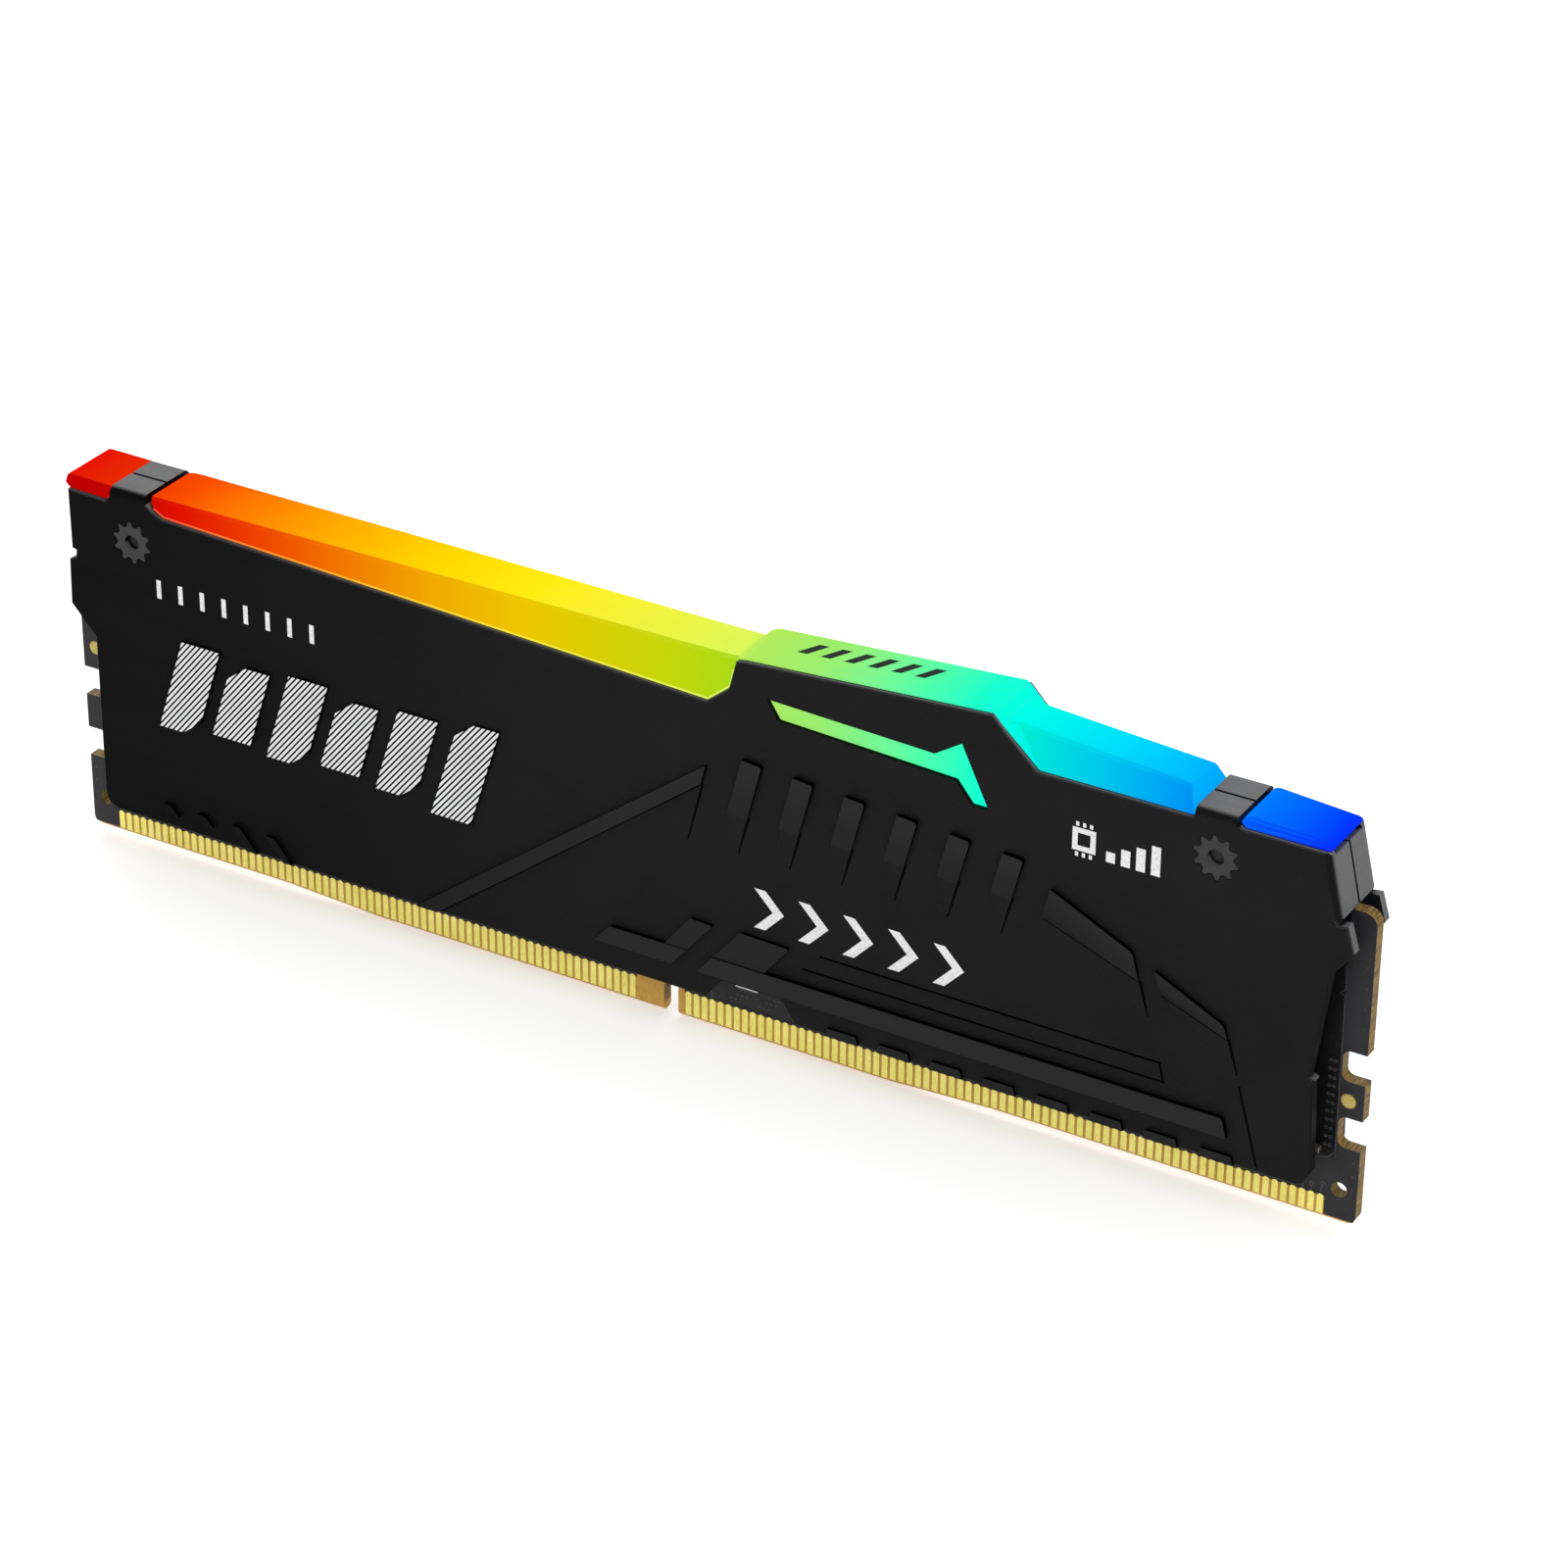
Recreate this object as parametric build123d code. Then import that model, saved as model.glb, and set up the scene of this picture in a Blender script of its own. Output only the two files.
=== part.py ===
from build123d import *

import math
import os

# Memory module with a lit heat spreader. Millimetres, +Z up.
# X runs along the card, -Y is the front face, Z is the height above the lowest card edge.
# The origin is the middle of the card: mid length, mid thickness, bottom edge.

# ---- driving dimensions ----
card_length = 133.35
card_height = 31.25
card_thickness = 1.27
mask_thickness = 0.04
face_to_face = 7.11
contact_pitch = 0.85
contact_width = 0.60
contact_count = 144
contacts_left_of_key = 69
key_blank_pitches = 6
contact_top = 2.79
contact_proud = 0.05
edge_step = 0.5
step_starts = (-44.2, 21.2)
step_pitches = 12
top_corner = 1.2
foot_corner = 1.0
key_centre = -1.425
key_width = 1.5
key_height = 4.0
hole_diameter = 1.5
hole_inset = 1.675
hole_height = 3.73
side_notch_depth = 2.2
side_notch_spans = [(8.05, 11.1), (14.65, 17.65)]
side_notch_corner = 0.75
pad_radius = 0.72
pad_places = [(65.25, 12.75), (-65.25, 19.9)]
sheet_thickness = 1.0
fold_radius = 0.8
spreader_bottom = 4.95
edge_break = 0.12
seam_gap = 0.28
light_recess = 0.38
relief_height = 0.55
crease_height = 0.25
relief_root = 0.3
corner_soft = 0.35
chip_width = 10.0
chip_height = 11.0
chip_thickness = 1.05
chip_low = 9.2
chip_pitch = 13.0
first_chip = 15.5
soft_pad_half = 60.2
soft_pad_low = 8.4
soft_pad_high = 21.2
emitter_count = 12
emitter_reach = 60.5
keel_half = 1.6
gear_outer = 2.2
gear_root = 1.72
gear_bore = 0.76
gear_teeth = 10
gear_depth = 0.12

# ---- worked out from them ----
half_length = card_length / 2
half_card = card_thickness / 2
half_core = half_card - mask_thickness
outer_face = face_to_face / 2
inner_face = outer_face - sheet_thickness
light_half = outer_face - light_recess
chip_face = half_card + chip_thickness
first_contact = -(contact_count + key_blank_pitches - 1) * contact_pitch / 2
blank_half = -first_contact + contact_width / 2 + 0.1

os.makedirs("parts", exist_ok=True)


def save(node, shape):
    """Write one sub-part under its node name."""
    export_step(shape, f"parts/{node}.step")


def flat(points):
    """A flat face through its corner points."""
    return Face(Wire.make_polygon(points, close=True))


def upright(points, y_from, y_to):
    """A prism: an outline drawn in X and Z, running from one Y to the other."""
    return Solid.extrude(flat([Vector(x, y_from, z) for x, z in points]), Vector(0, y_to - y_from, 0))


def block(x_mid, width, y_from, y_to, z_from, z_to):
    """A box given by its middle and width along X and its limits in Y and Z."""
    box = Box(width, abs(y_to - y_from), z_to - z_from)
    return Pos(x_mid, (y_from + y_to) / 2, (z_from + z_to) / 2) * box


def disc(x, z, radius, y_from, y_to):
    """A round plug along Y."""
    depth = abs(y_to - y_from)
    return Pos(x, (y_from + y_to) / 2, z) * Rot(90, 0, 0) * Cylinder(radius, depth)


def to_back(shape):
    """The same piece on the back of the card."""
    return mirror(shape, about=Plane.XZ)


# ---- the card ----


def edge_line():
    """The card's lower edge from left to right: the middle hangs lower than the ends."""
    left, right = step_starts
    run = step_pitches * contact_pitch
    return [
        (-half_length, edge_step),
        (left, edge_step),
        (left + run, 0.0),
        (right, 0.0),
        (right + run, edge_step),
        (half_length, edge_step),
    ]


def edge_height(x):
    """Height of the card's lower edge at x."""
    points = edge_line()
    for (x0, z0), (x1, z1) in zip(points, points[1:]):
        if x <= x1:
            return z0 + (z1 - z0) * (x - x0) / (x1 - x0)
    return edge_step


def card_blank(y_from, y_to):
    """The card's outline with rounded corners, side notches, key notch and holes."""
    outline = edge_line() + [(half_length, card_height), (-half_length, card_height)]
    blank = upright(outline, y_from, y_to)
    blank = fillet(corner_edges(blank, half_length, card_height), top_corner)
    blank = fillet(corner_edges(blank, half_length, edge_step), foot_corner)
    for side in (-1, 1):
        for low, high in side_notch_spans:
            blank -= side_notch(side, low, high, y_from, y_to)
        x_hole = side * (half_length - hole_inset)
        blank -= disc(x_hole, hole_height, hole_diameter / 2, y_from - 1, y_to + 1)
    key_arc = key_height - key_width / 2
    blank -= block(key_centre, key_width, y_from - 1, y_to + 1, -1, key_arc)
    blank -= disc(key_centre, key_arc, key_width / 2, y_from - 1, y_to + 1)
    return blank


def corner_edges(shape, x, z):
    """The edges along Y at height z and at both ends of the card."""
    close = 1e-3
    return [
        e
        for e in shape.edges().filter_by(Axis.Y)
        if abs(abs(e.center().X) - x) < close and abs(e.center().Z - z) < close
    ]


def side_notch(side, low, high, y_from, y_to):
    """A latch notch in one end of the card, round at its inner corners."""
    spare, close = 1.0, 1e-3
    x_mid = side * (half_length + spare - (side_notch_depth + spare) / 2)
    cut = block(x_mid, side_notch_depth + spare, y_from - spare, y_to + spare, low, high)
    x_inner = side * (half_length - side_notch_depth)
    inner = [e for e in cut.edges().filter_by(Axis.Y) if abs(e.center().X - x_inner) < close]
    return fillet(inner, side_notch_corner)


def lead_in(face_sign):
    """The slanted cuts that thin the card's lower edge so that it enters a socket."""
    depth, rise, spare = 0.25, 0.35, 0.2
    y_face = face_sign * half_core
    y_in = face_sign * (half_core - depth)
    y_out = face_sign * (half_core + spare)
    points = edge_line()
    cuts = []
    for (x0, z0), (x1, z1) in zip(points, points[1:]):
        section = [
            Vector(x0, y_out, z0 + rise),
            Vector(x0, y_face, z0 + rise),
            Vector(x0, y_in, z0),
            Vector(x0, y_in, z0 - spare),
            Vector(x0, y_out, z0 - spare),
        ]
        cuts.append(Solid.extrude(flat(section), Vector(x1 - x0, 0, z1 - z0)))
    return cuts


def circuit_board():
    """The laminate, which shows bare in the contact band and on every edge."""
    board = card_blank(-half_core, half_core)
    for face_sign in (-1, 1):
        for cut in lead_in(face_sign):
            board -= cut
    return board


def mask_front():
    """The black coating on the front: it stops at the contact band."""
    coat = card_blank(-half_card, -half_core)
    coat -= block(0, 2 * blank_half, -half_card - 1, -half_core + 1, -1, contact_top + 0.15)
    corner = half_length - blank_half
    for side in (-1, 1):
        x_mid = side * (half_length - corner / 2)
        coat -= block(x_mid, corner + 1, -half_card - 1, -half_core + 1, -1, edge_step + 0.35)
    for x, z in pad_places:
        coat -= disc(x, z, pad_radius, -half_card - 1, -half_core + 1)
    return coat


def locating_pads_front():
    """Two bare round gold pads that a placement machine finds the card by."""
    radius = pad_radius - 0.08
    return Compound([disc(x, z, radius, -half_card, -half_core) for x, z in pad_places])


def contact_places():
    """The X of each contact: two runs with the key notch between them."""
    places = []
    for index in range(contact_count):
        skipped = key_blank_pitches if index >= contacts_left_of_key else 0
        places.append(first_contact + (index + skipped) * contact_pitch)
    return places


def contacts_front():
    """The gold fingers of one face, rounded at the top."""
    radius = 0.28
    fingers = []
    for x in contact_places():
        low = max(edge_height(x - contact_width / 2), edge_height(x + contact_width / 2))
        y_skin = -half_core - contact_proud
        finger = block(x, contact_width, y_skin, -half_core, low + 0.36, contact_top)
        tops = [e for e in finger.edges().filter_by(Axis.Y) if e.center().Z > contact_top - 1e-3]
        fingers.append(fillet(tops, radius))
    return Compound(fingers)


# ---- what is soldered to the card ----


def memory_chip(x):
    """One memory package with a thin chamfer round its top."""
    chip = block(x, chip_width, -chip_face, -half_card, chip_low, chip_low + chip_height)
    rim = chip.faces().sort_by(Axis.Y)[0].edges()
    return chamfer(rim, 0.08)


def small_parts(places, width, height, thickness):
    """A group of equal surface-mount parts standing on the front face."""
    parts = []
    for x, z in places:
        low = z - height / 2
        parts.append(block(x, width, -half_card - thickness, -half_card, low, low + height))
    return Compound(parts)


def chip_places():
    """The X of each memory package: four on each side of the middle."""
    right = [first_chip + step * chip_pitch for step in range(4)]
    return [-x for x in reversed(right)] + right


def capacitor_places(height):
    """Three small capacitors above or below each memory chip, and one at each end."""
    inner = [(x + shift, height) for x in chip_places() for shift in (-3.2, 0.0, 3.2)]
    return inner + [(-62.6, height), (62.6, height)]


def emitter_places():
    """The light emitters, evenly spread under the light bar."""
    step = 2 * emitter_reach / (emitter_count - 1)
    return [-emitter_reach + index * step for index in range(emitter_count)]


# ---- heat spreader ----

tab_left = (-60.05, -56.15, 39.34)
tab_right = (51.0, 54.8, 38.35)
slant_top = (63.38, 37.14)
slant_bottom = (64.66, 31.62)

left_end = [
    (-62.75, 23.1),
    (-64.3, 24.75),
    (-65.4, 25.95),
    (-65.28, 30.6),
    (-64.48, 31.0),
    (-64.44, 31.72),
    (-64.9, 31.82),
    (-64.95, 37.92),
]
top_edge = [
    (-60.7, 37.8),
    (-60.05, 38.45),
    (tab_left[0], tab_left[2]),
    (tab_left[1], tab_left[2]),
    (tab_left[1] + 0.15, 38.5),
    (-55.3, 37.9),
    (-54.2, 37.45),
    (4.0, 35.0),
    (6.25, 36.8),
    (7.0, 39.7),
    (7.7, 39.87),
    (32.0, 41.52),
    (33.3, 40.15),
    (36.35, 37.35),
    (50.9, 37.35),
    (tab_right[0], 37.6),
    (tab_right[0], tab_right[2]),
    (tab_right[1], tab_right[2]),
    (55.0, 37.75),
    (55.45, 37.5),
    (63.0, 37.5),
]
right_end = [
    slant_top,
    slant_bottom,
    (64.1, 31.55),
    (64.35, 31.1),
    (65.3, 31.25),
    (66.0, 28.85),
    (65.26, 27.78),
    (64.11, 26.35),
    (62.75, 15.91),
    (63.32, 15.7),
    (63.16, 15.16),
    (63.48, 6.53),
    (62.75, 5.2),
]
card_window = [(13.25, 4.95), (11.7, 7.08), (5.6, 7.08), (3.95, 4.95)]
light_slot = [
    (10.1, 36.95),
    (26.6, 36.35),
    (29.2, 38.05),
    (31.9, 32.4),
    (30.3, 32.4),
    (28.7, 34.35),
    (11.3, 35.1),
]
gear_places = [(-57.85, 34.15), (53.1, 34.13)]


def spreader_blank():
    """The flat front sheet, its rim broken by a narrow chamfer."""
    outline = [(-61.2, spreader_bottom), (-62.3, 5.3), (-62.8, 6.4)] + left_end + top_edge
    outline += right_end + [(62.3, spreader_bottom)] + card_window
    sheet = upright(outline, -outer_face, -inner_face)
    front = sheet.faces().sort_by(Axis.Y)[0]
    return chamfer(front.outer_wire().edges(), edge_break)


def slant_axes():
    """The slanted tab's direction down the end of the sheet, and the one square to it."""
    run = Vector(slant_bottom[0] - slant_top[0], 0, slant_bottom[1] - slant_top[1]).normalized()
    return run, Vector(run.Z, 0, -run.X)


def folded_tabs():
    """The three tabs that fold in over the light bar and the end, up to the centre seam."""
    y_seam = -seam_gap / 2
    tabs = []
    for low, high, top in (tab_left, tab_right):
        middle = (low + high) / 2
        tab = block(middle, high - low, -outer_face, y_seam, top - sheet_thickness, top)
        tabs.append(fold(tab, middle, top))
    inward = slant_axes()[1] * sheet_thickness
    slant = [
        slant_top,
        slant_bottom,
        (slant_bottom[0] + inward.X, slant_bottom[1] + inward.Z),
        (slant_top[0] + inward.X, slant_top[1] + inward.Z),
    ]
    middle = ((slant_top[0] + slant_bottom[0]) / 2, (slant_top[1] + slant_bottom[1]) / 2)
    tabs.append(fold(upright(slant, -outer_face, y_seam), *middle))
    return tabs


def fold(tab, x, z):
    """Round a tab's outer front edge, whose middle is at x and z."""
    bend = min(tab.edges(), key=lambda e: (e.center() - Vector(x, -outer_face, z)).length)
    return fillet([bend], fold_radius)


def fold_relief():
    """What the sheet loses where a tab bends away from it."""
    spare, side_gap = 0.5, 0.3
    cuts = []
    for low, high, top in (tab_left, tab_right):
        middle, width = (low + high) / 2, high - low + 2 * side_gap
        z_from, z_to = top - fold_radius, top + spare
        cuts.append(block(middle, width, -outer_face - spare, -inner_face, z_from, z_to))
    return cuts


def plate(points, height):
    """A level plate that stands on the front face."""
    return upright(points, -outer_face + relief_root, -outer_face - height)


def raised(outline, facets):
    """A solid on the front face: an outline of (x, z, height) and the flat facets over it."""
    top = [Vector(x, -outer_face - height, z) for x, z, height in outline]
    foot = [Vector(x, -outer_face + relief_root, z) for x, z, height in outline]
    faces = [flat(foot)] + [flat([top[corner] for corner in facet]) for facet in facets]
    for corner in range(len(outline)):
        following = (corner + 1) % len(outline)
        faces.append(flat([foot[corner], foot[following], top[following], top[corner]]))
    return Solid(Shell(faces))


def slope_through(a, b, c):
    """The height at any x and z of the slope through three (x, z, height) places."""
    start = Vector(*a)
    tilt = (Vector(*b) - start).cross(Vector(*c) - start)

    def height(x, z):
        return start.Z - (tilt.X * (x - start.X) + tilt.Y * (z - start.Y)) / tilt.Z

    return height


def softened(points, index, reach=corner_soft):
    """An outline with one corner rounded off by a short curve."""
    corner = Vector(*points[index])
    before = (Vector(*points[index - 1]) - corner).normalized()
    after = (Vector(*points[(index + 1) % len(points)]) - corner).normalized()
    curve = []
    for share in (0.0, 0.3, 0.7, 1.0):
        point = corner + before * reach * (1 - share) ** 2 + after * reach * share**2
        curve.append((point.X, point.Y))
    return points[:index] + curve + points[index + 1:]


def folded_plate(corners, tip, top_height):
    """A plate that slopes down to a crease, then a second facet that runs out at a tip.
    The corners are the upper two and the two ends of the crease, from the upper left."""
    upper_left, upper_right, crease_right = corners[:3]
    height = slope_through((*upper_left, top_height), (*upper_right, top_height),
                           (*crease_right, crease_height))
    outline = [(x, z, height(x, z)) for x, z in softened(corners, 1)]
    last = len(outline)
    outline.insert(last - 1, (*tip, 0.0))
    upper = [corner for corner in range(last + 1) if corner != last - 1]
    return raised(outline, [upper, [last - 2, last - 1, last]])


def groove(points, width, depth):
    """A narrow cut that follows a line of points across the face and its relief."""
    above = relief_height + 0.1
    cuts = []
    for (x0, z0), (x1, z1) in zip(points, points[1:]):
        along = Vector(x1 - x0, 0, z1 - z0).normalized()
        side = Vector(-along.Z, 0, along.X) * (width / 2)
        over = along * (width / 2)
        start, end = Vector(x0, 0, z0) - over, Vector(x1, 0, z1) + over
        corners = [start + side, end + side, end - side, start - side]
        outline = [(corner.X, corner.Z) for corner in corners]
        cuts.append(upright(outline, -outer_face - above, -outer_face + depth))
    return cuts


def fin_places():
    """The four corners and the tip of each leaning fin. The tips are level, and the
    tops fall slightly from left to right."""
    pitch, width, lean = 5.226, 2.05, 0.277
    tip_height, crease_above, first_tip = 20.85, 3.85, 7.3
    places = []
    for index in range(6):
        tip = (first_tip + pitch * index, tip_height)
        left_above = 9.7 - 0.31 * index
        right_above = left_above - 0.18
        upper_left = (tip[0] + lean * left_above - width, tip_height + left_above)
        upper_right = (tip[0] + lean * right_above, tip_height + right_above)
        crease_right = (tip[0] + lean * crease_above, tip_height + crease_above)
        crease_left = (crease_right[0] - width, crease_right[1])
        places.append(([upper_left, upper_right, crease_right, crease_left], tip))
    return places


def fins():
    """Six leaning fins, highest at the top, whose right-hand edges run down to a tip."""
    return [folded_plate(corners, tip, relief_height) for corners, tip in fin_places()]


band_low_edge = [(-24.5, 5.08), (3.69, 26.79)]
facet_tip = (2.12, 20.82)


def diagonal_band():
    """The long slanted band across the middle and the small facet under its upper end."""
    band = [(-26.97, 5.08), (4.22, 28.9), band_low_edge[1], band_low_edge[0]]
    facet = [(*band_low_edge[1], 0.2), (*facet_tip, 0.0), (-4.0, 21.1, 0.0)]
    return [plate(softened(band, 1), 0.42), raised(facet, [[0, 1, 2]])]


def lower_plates():
    """The stepped plates above the lower edge and the long bar beside them."""
    step = [(-7.44, 7.62), (-5.8, 9.5), (2.28, 9.5), (0.66, 7.62)]
    step_head = [(-0.14, 9.4), (2.6, 12.9), (4.94, 12.75), (2.2, 9.4)]
    long_head = [(4.9, 9.5), (7.77, 12.95), (12.8, 12.8), (10.2, 9.5)]
    long_bar = [(3.41, 7.7), (4.98, 9.6), (55.32, 9.6), (55.78, 7.7)]
    return [
        plate(step, 0.5),
        plate(softened(step_head, 2), 0.38),
        plate(softened(long_head, 2), 0.38),
        plate(softened(long_bar, 2), relief_height),
    ]


def edge_plates():
    """Four slanted plates at the lower left and eight low ones along the lower right."""
    foot, height, slant = spreader_bottom + edge_break + 0.01, 0.38, 0.82
    plates = []
    for index in range(4):
        x, top = -55.65 + 3.95 * index, 7.42
        low = 6.4 if index < 2 else foot
        run = (top - low) * slant
        outline = [(x, top), (x + 0.9, top), (x + 0.9 + run, low), (x + run, low)]
        plates.append(plate(softened(outline, 1), height))
    for index in range(8):
        x, top, width = 16.74 + 5.232 * index, 5.93, 2.88
        outline = [(x, top), (x + width, top), (x + width + 0.25, foot), (x - 0.25, foot)]
        plates.append(plate(outline, height))
    return plates


long_facets = [
    ([(38.22, 26.79), (46.15, 23.04), (46.8, 20.26), (37.34, 23.66)], (47.61, 16.99)),
    ([(48.3, 21.88), (54.93, 18.65), (55.28, 17.2), (48.72, 19.6)], (56.13, 13.96)),
]


def right_facets():
    """Two long folded plates on the right third."""
    return [folded_plate(corners, tip, 0.45) for corners, tip in long_facets]


def grooves():
    """The fine lines: a long double one, one at the right, and those beside the plates."""
    fine, narrow, bold = 0.1, 0.15, 0.24
    cuts = groove([(15.77, 12.8), (48.99, 12.8), (49.45, 11.0)], bold, 0.35)
    cuts += groove([(14.05, 11.0), (49.45, 11.0)], bold, 0.35)
    cuts += groove([(56.5, 12.85), (58.5, 5.6)], bold, 0.3)
    cuts += groove(band_low_edge, narrow, 0.25)
    for corners, _ in long_facets:
        cuts += groove([corners[3], corners[2]], fine, 0.0)
    tails = [(corners[2], tip) for corners, tip in fin_places() + long_facets]
    for (x0, z0), (x1, z1) in tails + [(band_low_edge[1], facet_tip)]:
        cuts += groove([(x0 + narrow / 2, z0), (x1 + narrow / 2, z1)], narrow, 0.25)
    return cuts


def gear_outline(x, z):
    """A plain cog with blunt pointed teeth."""
    points = []
    for index in range(gear_teeth):
        for share, radius in ((0.0, gear_root), (0.3, gear_root), (0.55, gear_outer),
                              (0.75, gear_outer)):
            turn = 2 * math.pi * (index + share) / gear_teeth
            points.append((x + radius * math.cos(turn), z + radius * math.sin(turn)))
    return points


def gears():
    """Two shallow cogs, each with a deep blind bore at its middle."""
    above, bore_floor = 0.3, 0.15
    cuts = []
    for x, z in gear_places:
        cuts.append(upright(gear_outline(x, z), -outer_face - above, -outer_face + gear_depth))
        cuts.append(disc(x, z, gear_bore, -outer_face - above, -inner_face - bore_floor))
    return cuts


def heat_spreader_front():
    """The front half of the spreader, with its folds, light slot and relief."""
    sheet = spreader_blank()
    for cut in fold_relief():
        sheet -= cut
    for tab in folded_tabs():
        sheet += tab
    sheet -= slant_relief()
    sheet -= upright(light_slot, -outer_face - 1, -inner_face + 1)
    for added in fins() + diagonal_band() + lower_plates() + edge_plates() + right_facets():
        sheet += added
    for cut in grooves() + gears():
        sheet -= cut
    return sheet


def slant_relief():
    """Rounds the sheet's front edge where the slanted tab bends away."""
    run, inward = slant_axes()
    spare, start_gap, end_gap = 0.5, 0.6, 0.3
    top = Vector(slant_top[0], 0, slant_top[1]) - run * start_gap
    centre = top + inward * fold_radius + Vector(0, -outer_face + fold_radius, 0)
    corner = top - inward * spare + Vector(0, -outer_face - spare, 0)
    span = inward * (fold_radius + spare)
    deep = Vector(0, fold_radius + spare, 0)
    square = [corner, corner + span, corner + span + deep, corner + deep]
    tab_length = (Vector(*slant_bottom) - Vector(*slant_top)).length
    length = tab_length + start_gap + end_gap
    bar = Solid.extrude(flat(square), run * length)
    rod_plane = Plane(origin=centre, z_dir=run)
    rod = Solid.make_cylinder(fold_radius, length, rod_plane)
    return bar - rod


# ---- light diffuser ----


def section(low, half_low, top, half_top):
    """A cross-section of the light bar: a rim, a sloped face, a bevel and a flat top."""
    rise = top[1] - low[1]
    rim = min(0.25, rise * 0.3) / rise
    bevel = 1 - min(0.3, rise * 0.3) / rise
    half_bevel = min(half_low, half_top + (half_low - half_top) * (1 - bevel) + 0.12)
    levels = [(0.0, half_low), (rim, half_low), (bevel, half_bevel), (1.0, half_top)]
    side = []
    for share, half in levels:
        x = low[0] + (top[0] - low[0]) * share
        side.append((x, half, low[1] + rise * share))
    points = [Vector(x, -half, z) for x, half, z in side]
    return points + [Vector(x, half, z) for x, half, z in reversed(side)]


def light_head(sections):
    """One lit length: flat facets between its cross-sections, closed by the two end ones."""
    faces = [flat(sections[0]), flat(sections[-1])]
    for near, far in zip(sections, sections[1:]):
        for corner in range(len(near)):
            following = (corner + 1) % len(near)
            faces.append(flat([near[corner], near[following], far[following]]))
            faces.append(flat([near[corner], far[following], far[corner]]))
    return Solid(Shell(faces))


def light_heads():
    """The left lamp, the long bar, the raised ridge with its right wing, and the right lamp."""
    wide = light_half
    left_lamp = light_head([
        section((-65.38, 38.4), wide, (-65.1, 39.25), 3.1),
        section((-64.9, 37.97), wide, (-64.7, 39.34), 3.1),
        section((-60.75, 37.85), wide, (-60.6, 39.3), 3.1),
        section((-60.12, 38.5), wide, (-60.12, 39.28), 3.1),
    ])
    long_bar = light_head([
        section((-55.7, 38.55), 2.95, (-55.6, 39.3), 2.8),
        section((-55.25, 38.0), 3.12, (-55.1, 39.35), 2.95),
        section((-54.2, 37.5), wide, (-54.1, 39.36), 3.0),
        section((4.0, 35.06), wide, (4.4, 39.58), 2.35),
        section((6.2, 36.88), wide, (6.4, 39.6), 2.32),
        section((6.66, 38.75), wide, (6.95, 39.6), 2.3),
    ])
    ridge = light_head([
        section((7.02, 39.78), wide, (7.2, 40.3), 2.1),
        section((7.75, 39.94), wide, (7.65, 40.5), 2.1),
        section((32.0, 41.58), wide, (31.05, 42.23), 1.88),
        section((33.36, 40.2), wide, (32.45, 40.84), 1.9),
        section((36.4, 37.41), wide, (33.7, 40.74), 1.92),
        section((50.85, 37.41), wide, (50.0, 39.6), 2.05),
    ])
    right_lamp = light_head([
        section((55.05, 37.95), 3.08, (55.3, 38.45), 2.7),
        section((55.5, 37.56), wide, (55.75, 38.54), 2.75),
        section((62.9, 37.56), wide, (62.9, 38.1), 2.6),
        section((63.2, 37.56), 3.0, (63.15, 37.95), 2.4),
    ])
    return [left_lamp, long_bar, ridge, right_lamp]


def light_web():
    """The inner plate between the sheets, and the narrower keel that rises into the lit lengths."""
    clear = 0.15
    under_left = tab_left[2] - sheet_thickness - clear
    under_right = tab_right[2] - sheet_thickness - clear
    inner_plate = [
        (-64.2, 32.1),
        (-64.2, 37.5),
        (-54.6, 37.1),
        (4.1, 34.7),
        (6.0, 36.4),
        (6.8, 39.3),
        (31.7, 41.1),
        (32.9, 39.9),
        (36.1, 37.05),
        (62.0, 37.05),
        (62.2, 36.8),
        (63.2, 32.1),
    ]
    keel = [
        (-64.0, 33.0),
        (-64.0, 38.8),
        (-60.4, 38.8),
        (-60.3, under_left),
        (-56.0, under_left),
        (-54.9, 38.7),
        (6.3, 38.9),
        (7.6, 40.15),
        (31.0, 41.8),
        (33.2, 39.9),
        (49.8, 38.9),
        (50.6, under_right),
        (55.2, under_right),
        (56.0, 38.0),
        (61.5, 37.9),
        (62.5, 33.0),
    ]
    web = upright(inner_plate, clear - inner_face, inner_face - clear)
    return web + upright(keel, -keel_half, keel_half)


def shrunk(points, gap):
    """An outline moved inwards by a gap, for a boss that fills a slot."""
    wire = Wire.make_polygon([Vector(x, z, 0) for x, z in points], close=True)
    inner = wire.offset_2d(-gap, kind=Kind.INTERSECTION)
    return Plane.XZ * Face(inner)


def light_diffuser():
    """One milky moulding: the inner plate, the lit lengths and the bosses in the slots."""
    body = light_web()
    for head in light_heads():
        body += head
    clear, boss_recess = 0.05, 0.35
    boss = extrude(shrunk(light_slot, clear), outer_face - boss_recess, both=True)
    return body + boss


# ---- padding ----


def thermal_pad_front():
    """The soft pad that carries heat from the chips to the front spreader."""
    return block(0, 2 * soft_pad_half, -inner_face, -chip_face, soft_pad_low, soft_pad_high)


def spacer_pad_back():
    """The thicker foam that fills the empty back side."""
    return block(0, 2 * soft_pad_half, half_card, inner_face, soft_pad_low, soft_pad_high)


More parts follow.
